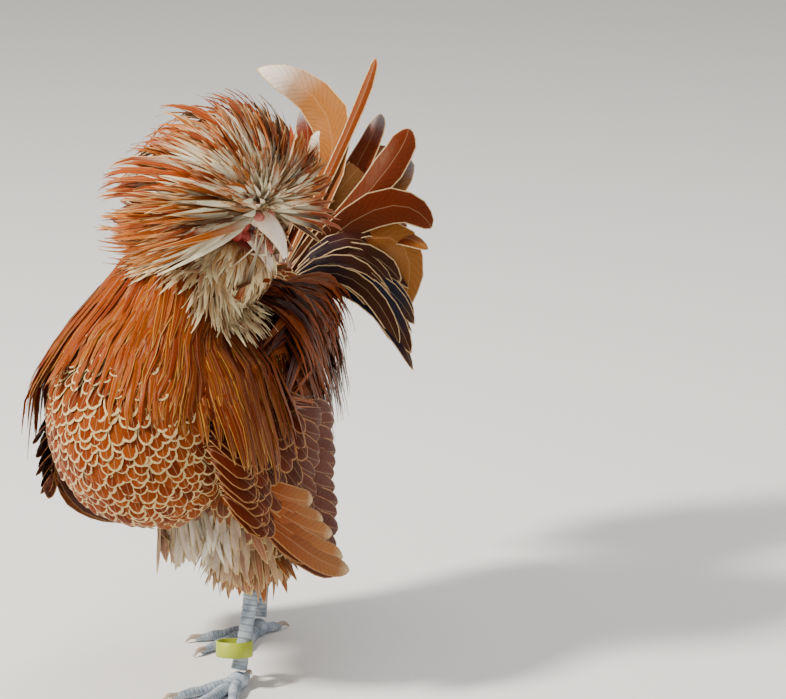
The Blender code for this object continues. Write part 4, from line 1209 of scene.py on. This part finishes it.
# Bill: sections as distance along it, top and bottom height and half width; each part turns at its hinge
upperBill = [
    (0.000, 0.0085, -0.0040, 0.0098), (0.010, 0.0095, -0.0042, 0.0090), (0.018, 0.0080, -0.0045, 0.0076),
    (0.026, 0.0040, -0.0062, 0.0058), (0.032, -0.0012, -0.0088, 0.0038), (0.0365, -0.0070, -0.0122, 0.0018),
]
lowerBill = [
    (0.000, 0.0000, -0.0080, 0.0085), (0.008, 0.0000, -0.0074, 0.0080), (0.016, -0.0005, -0.0066, 0.0070),
    (0.024, -0.0020, -0.0062, 0.0054), (0.031, -0.0044, -0.0070, 0.0030), (0.034, -0.0060, -0.0076, 0.0014),
]
tongueRows = [(0.003, 0.0030, -0.0008, 0.0040), (0.012, 0.0026, -0.0006, 0.0036),
              (0.020, 0.0016, -0.0008, 0.0028), (0.026, -0.0002, -0.0016, 0.0014)]
gapeAngle = math.radians(19)
billSettings = {"steps": 30, "sides": 36, "scoop": 0.0028, "ridge": 0.0004, "taper": 0.10}


def makeBillPart(name, rows, hinge, opened, finish, hollow):
    # opened is its share of the gape; hollow scoops the lower face out at 1, the upper one at -1
    settings = billSettings
    angle = gapeAngle * opened
    bm = bmesh.new()
    rings = []
    for along, top, bottom, half in smoothRows(rows, settings["steps"]):
        ring = []
        for i in range(settings["sides"]):
            turn = 2 * math.pi * i / settings["sides"]
            rise = math.sin(turn)
            across = math.cos(turn)
            height = (top + bottom) / 2 + (top - bottom) / 2 * rise
            scoop = math.copysign(settings["scoop"], hollow)
            height += max(0.0, -rise * hollow) ** 2 * (1 - across ** 2) * scoop
            height += settings["ridge"] * max(0.0, rise * hollow) * (1 - across ** 2) ** 6
            forward = hinge[0] + along * math.cos(angle) + height * math.sin(angle)
            up = hinge[1] - along * math.sin(angle) + height * math.cos(angle)
            ring.append(inHead(forward, half * across * (1 - settings["taper"] * max(0.0, rise)), up))
        rings.append(ring)
    loftInto(bm, rings)
    return finishMesh(name, bm, finish)


def hornFinish():
    f = Finish("bill horn")
    cloud = f.noise(160, 3)
    streak = f.noise(240, 3, stretch=(0.3, 1, 1))
    toned = f.mix(cloud.between(0.35, 0.75) * 0.5, tone(255, 240, 222), tone(246, 196, 164))
    toned = f.mix(streak.between(0.5, 0.8) * 0.35, toned, tone(250, 238, 222))
    return f.close(toned, 0.30 + cloud * 0.12, f.bump(streak, 0.25, 0.0002), Subsurface_Weight=0.15,
                   Subsurface_Scale=0.002)


def fleshFinish(name, light, deep, roughness, scale):
    f = Finish(name)
    grain = f.noise(scale, 4)
    fine = f.noise(scale * 4, 2)
    toned = f.mix(grain.between(0.3, 0.7), deep, light)
    return f.close(toned, roughness + (fine - 0.5) * 0.2, f.bump(grain + fine * 0.5, 0.6, 0.0004),
                   Subsurface_Weight=0.12, Subsurface_Scale=0.002)


billHorn = hornFinish()
redFlesh = fleshFinish("red face skin", tone(236, 84, 66), tone(176, 30, 26), 0.42, 700)
pinkFlesh = fleshFinish("pink nostril skin", tone(255, 168, 158), tone(226, 104, 98), 0.40, 500)
tongueFlesh = fleshFinish("tongue", tone(238, 140, 110), tone(206, 92, 72), 0.30, 600)
mouthFlesh = fleshFinish("mouth", tone(120, 34, 30), tone(60, 12, 12), 0.35, 500)
billParts = [("upper_bill", upperBill, (0.0225, 0.0035), 0.0, billHorn, 1, "bill_horn", "bill_upper"),
             ("lower_bill", lowerBill, (0.0215, -0.0045), 1.0, billHorn, -1, "bill_horn", "bill_lower"),
             ("tongue_flesh", tongueRows, (0.0215, -0.0029), 0.75, tongueFlesh, 0.001, "tongue", "tongue")]
for *part, slotName, node in billParts:
    standOnSolids(makeBillPart(*part), slotName, node)


# Face: the nostril skin, gape corners, the mouth's lining and the small V comb
def makeFleshBalls(name, balls, finish, *nodes):
    bm = bmesh.new()
    for centre, radii in balls:
        ballInto(bm, inHead(*centre), headAxes, radii, 28, 18)
    return standOnSolids(fused(name, bm, 0.0005, 4, finish), "face_skin", *nodes)


def bothSides(centre, radii):
    forward, left, up = centre
    return [((forward, side * left, up), radii) for side in (1, -1)]


makeFleshBalls("nostril_skin", bothSides((0.0275, 0.0048, 0.0088), (0.0078, 0.0040, 0.0046))
               + [((0.0245, 0, 0.0085), (0.0060, 0.0050, 0.0050))], pinkFlesh)
makeFleshBalls("gape_skin", bothSides((0.0215, 0.0088, 0.0000), (0.0050, 0.0026, 0.0062))
               + bothSides((0.0240, 0.0074, -0.0085), (0.0058, 0.0026, 0.0044))
               + bothSides((0.0180, 0.0112, -0.0085), (0.0070, 0.0032, 0.0075)), redFlesh)
makeFleshBalls("mouth_lining", [((0.0220, 0, -0.0015), (0.0070, 0.0076, 0.0050))], mouthFlesh)
combBalls = [((0.0215, 0, 0.0130), (0.0030, 0.0052, 0.0024))]
for side in sides:
    combBalls += [((0.0222, side * (0.0026 + 0.0011 * k), 0.0132 + 0.0020 * k),
                   (0.0032 - 0.0003 * k, 0.0026 - 0.0002 * k, 0.0028)) for k in range(5)]
makeFleshBalls("v_comb", combBalls, redFlesh, "comb")


# Eyes: a bay iris with a black pupil under a clear gloss, in a rim of lid skin
eyeSettings = {"radius": 0.0058, "pupil": (0.90, 0.925), "iris": (0.60, 0.66), "skullCentre": (0.004, 0, 0.002),
               "lidOut": 0.0024, "lidThick": 0.0012, "lidWrinkle": 0.00015, "lidSteps": 48, "lidSides": 10}


def eyeCentre(side):
    return inHead(eyeSpot[0], side * eyeSpot[1], eyeSpot[2])


def eyeOut(side):
    return (eyeCentre(side) - inHead(*eyeSettings["skullCentre"])).normalized()


def eyeFinish(side):
    f = Finish("eye")
    place = f.node("NewGeometry", output=0)
    away = f.node("VectorMath", {"operation": "SUBTRACT"}, {0: place, 1: tuple(eyeCentre(side) + standShift)})
    facing = f.node("VectorMath", {"operation": "DOT_PRODUCT"}, {0: away, 1: tuple(eyeOut(side))}, output=1)
    height = facing * (1 / eyeSettings["radius"])
    iris = f.mix(f.noise(2600, 2), tone(150, 62, 22), tone(206, 110, 44))
    inner = f.mix(height.between(*eyeSettings["pupil"]), iris, tone(10, 8, 8))
    outer = f.mix(height.between(*eyeSettings["iris"]), tone(120, 40, 30), inner)
    return f.close(outer, 0.08, None, Coat_Weight=1.0, Coat_Roughness=0.03)


def makeEye(side, name):
    settings = eyeSettings
    centre = eyeCentre(side)
    ball = bmesh.new()
    ballInto(ball, centre, headAxes, [settings["radius"]] * 3, 48, 32)
    standOnSolids(finishMesh("eyeball_" + name, ball, eyeFinish(side)), "eye", "eye_" + name)
    out = eyeOut(side)
    around = out.cross(headUp).normalized()
    over = around.cross(out)
    rings = []
    for k in range(settings["lidSteps"]):
        turn = 2 * math.pi * k / settings["lidSteps"]
        spoke = around * math.cos(turn) + over * (0.80 * math.sin(turn))
        middle = centre + out * settings["lidOut"] + spoke * (settings["radius"] + 0.0002)
        spoke.normalize()
        thick = settings["lidThick"] + settings["lidWrinkle"] * math.sin(9 * turn)
        rings.append([middle + (spoke * math.cos(b) + out * math.sin(b)) * thick
                      for b in np.linspace(0, 2 * math.pi, settings["lidSides"] + 1)[:-1]])
    lid = bmesh.new()
    loftInto(lid, rings, looped=True)
    standOnSolids(finishMesh("lid_" + name, lid, redFlesh), "face_skin")


for side, sideName in sides.items():
    makeEye(side, sideName)
print("head made")

# Legs: scaled shanks and toes in slate blue, with horn claws
legSettings = {"plates": 17, "plateDepth": 0.00045, "sides": 40, "stepsPerPlate": 8,
               "shank": ((0.10, 0.0068), (0.2, 0.0062), (0.35, 0.0055), (0.55, 0.0051), (0.75, 0.0052),
                         (0.90, 0.0058), (0.98, 0.0062))}
# Toes: way round from the front in degrees, and length; then share of the length, height and radius along each
toes = [(-26, 0.046), (4, 0.058), (34, 0.050), (172, 0.021)]
toeRows = ((0, 0.0058, 0.0056), (0.22, 0.0050, 0.0046), (0.36, 0.0046, 0.0044), (0.52, 0.0040, 0.0037),
           (0.68, 0.0040, 0.0039), (0.84, 0.0034, 0.0031), (1.0, 0.0033, 0.0024))
footTurns = {1: 4, -1: -14}


def scaleFinish():
    f = Finish("leg scales")
    cloud = f.noise(110, 3)
    fine = f.noise(1400, 2)
    edge = f.attribute("groove", 2)
    toned = f.mix(cloud.between(0.3, 0.7), tone(128, 146, 166), tone(198, 208, 218))
    toned = f.mix(edge * 0.75, toned, tone(74, 80, 92))
    toned = f.mix(fine.between(0.55, 0.8) * 0.3, toned, tone(228, 226, 220))
    return f.close(toned, 0.42 + cloud * 0.15, f.bump(fine, 0.3, 0.0003))


def clawFinish():
    f = Finish("claw horn")
    cloud = f.noise(300, 3)
    return f.close(f.mix(cloud, tone(216, 196, 176), tone(150, 132, 120)), 0.35, f.bump(cloud, 0.2, 0.0003))


def scaledTube(bm, points, radii, plates, depth, flat=None):
    # a tube whose front carries overlapping plates and whose back small scales; notes where the grooves are
    rings = []
    grooves = []
    perPlate = legSettings["stepsPerPlate"]
    half = perPlate // 2
    steps = plates * perPlate
    line = smoothRows([(*p, r) for p, r in zip(points, radii)], steps + 1)
    front = Vector((0, -1, 0)) if flat is None else Vector((0, 0, 1))
    for k, row in enumerate(line):
        here = Vector(row[:3])
        way = (Vector(line[min(k + 1, steps)][:3]) - Vector(line[max(k - 1, 0)][:3])).normalized()
        ahead = (front - way * front.dot(way)).normalized()
        side = way.cross(ahead)
        phase = (k / perPlate) % 1.0
        plate = depth * (phase ** 0.7 - 0.6) - (depth if phase < 0.10 else 0)
        offset = math.pi if int(k / half) % 2 else 0
        ring = []
        for i in range(legSettings["sides"]):
            turn = 2 * math.pi * i / legSettings["sides"]
            onFront = ease(-0.1, 0.35, math.cos(turn))
            cell = abs(math.sin(turn * 9 + offset) * math.sin(math.pi * (k / half % 1.0)))
            swell = float(plate * onFront + depth * 0.7 * (cell - 0.5) * (1 - onFront))
            point = here + (ahead * math.cos(turn) + side * math.sin(turn)) * (row[3] + swell)
            if flat is not None:
                point.z = max(point.z, flat)
            ring.append(point)
            grooves.append(float(np.clip((0.12 - phase) / 0.12, 0, 1) * onFront
                                 + np.clip(0.25 - cell, 0, 1) * 3 * (1 - onFront)))
        rings.append(ring)
    loftInto(bm, rings)
    return grooves


def withGrooves(bm, grooves, name, finish):
    thing = finishMesh(name, bm, finish)
    layer = thing.data.attributes.new("groove", "FLOAT", "POINT")
    layer.data.foreach_set("value", np.array(grooves, dtype=np.float32))
    return thing


def makeHorn(name, points, shares, radii, sides, node):
    # a claw or spur: a smooth tapered tube through the points
    bm = bmesh.new()
    steps = 12
    tubeInto(bm, smoothRows(points, steps), np.interp(np.linspace(0, 1, steps), shares, radii), sides)
    standOnSolids(finishMesh(name, bm, clawHorn), "leg_scales", node)


def makeShank(side, name):
    hock = hockOf(side)
    ankle = ankleOf(side)
    bm = bmesh.new()
    points = [hock.lerp(ankle, t) for t, _ in legSettings["shank"]]
    grooves = scaledTube(bm, points, [r for _, r in legSettings["shank"]], legSettings["plates"],
                         legSettings["plateDepth"])
    standOnSolids(withGrooves(bm, grooves, "scaled_shank_" + name, legScales), "leg_scales", "shank_" + name)
    root = hock.lerp(ankle, 0.46) + Vector((-side * 0.002, 0.002, 0))
    spur = [root, root + Vector((-side * 0.006, 0.007, 0)), root + Vector((-side * 0.0094, 0.0125, 0.0025))]
    makeHorn("spur_" + name, spur, (0, 0.4, 1), (0.0032, 0.0024, 0.0004), 20, "shank_" + name)


def makeFoot(side, name):
    pad = pads[side]
    node = "foot_" + name
    for number, (spread, length) in enumerate(toes):
        angle = math.radians(footTurns[side] - side * spread)
        way = Vector((math.sin(angle), -math.cos(angle), 0))
        bm = bmesh.new()
        start = pad + way * 0.002
        points = [start + way * (length * share) + Vector((0, 0, height)) for share, height, _ in toeRows]
        radii = [radius for _, _, radius in toeRows]
        grooves = scaledTube(bm, points, radii, max(6, int(length / 0.0034)), 0.00032, flat=0.0)
        standOnSolids(withGrooves(bm, grooves, f"toe_{name}_{number}", legScales), "leg_scales", node)
        end = points[-1]
        claw = [end - way * 0.003 + Vector((0, 0, 0.0004)), end + way * 0.004 + Vector((0, 0, 0.0014)),
                end + way * 0.0092 - Vector((0, 0, 0.0026))]
        makeHorn(f"claw_{name}_{number}", claw, (0, 0.5, 1), (0.0025, 0.0019, 0.0003), 18, node)
    sole = bmesh.new()
    ballInto(sole, pad + Vector((0, 0.002, 0.0060)), bodyAxes, (0.0080, 0.0092, 0.0070), 32, 20)
    for vertex in sole.verts:
        vertex.co.z = max(vertex.co.z, 0)
    standOnSolids(withGrooves(sole, [0.0] * len(sole.verts), "pad_" + name, legScales), "leg_scales", node)


legScales = scaleFinish()
clawHorn = clawFinish()
for side, sideName in sides.items():
    makeShank(side, sideName)
    makeFoot(side, sideName)


# Leg band: a loose closed flat ring of yellow plastic, tilted as it rests on the shank
bandSettings = {"inner": 0.0126, "wall": 0.0011, "half": 0.0058, "edge": 0.0003, "steps": 96, "downShank": 0.76,
                "shankRadius": 0.0064, "tilt": 0.16, "lean": Vector((-0.75, -0.66, 0))}


def bandFinish():
    f = Finish("band plastic")
    cloud = f.noise(90, 2)
    scratch = f.noise(700, 3, stretch=(1, 1, 0.15))
    toned = f.mix(cloud.between(0.3, 0.7) * 0.4, tone(236, 255, 30), tone(250, 255, 110))
    toned = f.mix(scratch.between(0.62, 0.8) * 0.4, toned, tone(170, 176, 52))
    return f.close(toned, 0.34 + scratch * 0.15, f.bump(scratch, 0.2, 0.0002), Subsurface_Weight=0.2,
                   Subsurface_Scale=0.002)


def makeBand(settings):
    hock = hockOf(1)
    ankle = ankleOf(1)
    inner, half, edge = [settings[key] for key in ("inner", "half", "edge")]
    outer = inner + settings["wall"]
    centre = hock.lerp(ankle, settings["downShank"]) + settings["lean"] * (inner - settings["shankRadius"])
    axis = ((hock - ankle).normalized() + settings["lean"] * settings["tilt"]).normalized()
    side = axis.cross(Vector((0, 1, 0))).normalized()
    up = side.cross(axis)
    profile = [(outer, half - edge), (outer - edge, half), (inner + edge, half), (inner, half - edge),
               (inner, edge - half), (inner + edge, -half), (outer - edge, -half), (outer, edge - half)]
    rings = []
    for k in range(settings["steps"]):
        turn = 2 * math.pi * k / settings["steps"]
        spoke = side * math.cos(turn) + up * math.sin(turn)
        rings.append([centre + spoke * radius + axis * height for radius, height in profile])
    bm = bmesh.new()
    loftInto(bm, rings, looped=True)
    return finishMesh("band", bm, bandFinish())


standOnSolids(makeBand(bandSettings), "band_plastic", "leg_band")
print("legs made")


# Studio: a wide pale floor, and soft light with a sunny key from the upper left
def makeStudio():
    bm = bmesh.new()
    bmesh.ops.create_circle(bm, cap_ends=True, segments=64, radius=30)
    f = Finish("studio")
    finishMesh("floor", bm, f.close(tone(246, 245, 242), 0.8), smooth=False)


def makeLight(name, place, size, power, colour, aim):
    data = bpy.data.lights.new(name, "AREA")
    data.shape = "DISK"
    data.size = size
    data.energy = power
    data.color = colour
    light = addObject(name, data)
    light.location = place
    light.rotation_euler = (Vector(aim) - Vector(place)).to_track_quat("-Z", "Y").to_euler()


def makeWorld(colour, strength):
    world = bpy.data.worlds.new("studio")
    world.use_nodes = True
    background = world.node_tree.nodes["Background"]
    background.inputs[0].default_value = colour
    background.inputs[1].default_value = strength
    bpy.context.scene.world = world


makeStudio()
makeLight("key", (-1.3, -2.0, 2.4), 0.45, 205, (1.0, 0.95, 0.86), (0, 0, 0.25))
makeLight("fill", (2.6, -1.6, 1.2), 2.4, 9, (0.94, 0.97, 1.0), (0, 0, 0.22))
makeLight("top", (0.2, 0.8, 2.8), 2.0, 36, (1.0, 1.0, 1.0), (0, 0, 0.25))
makeWorld((1.0, 0.98, 0.95, 1), 0.42)
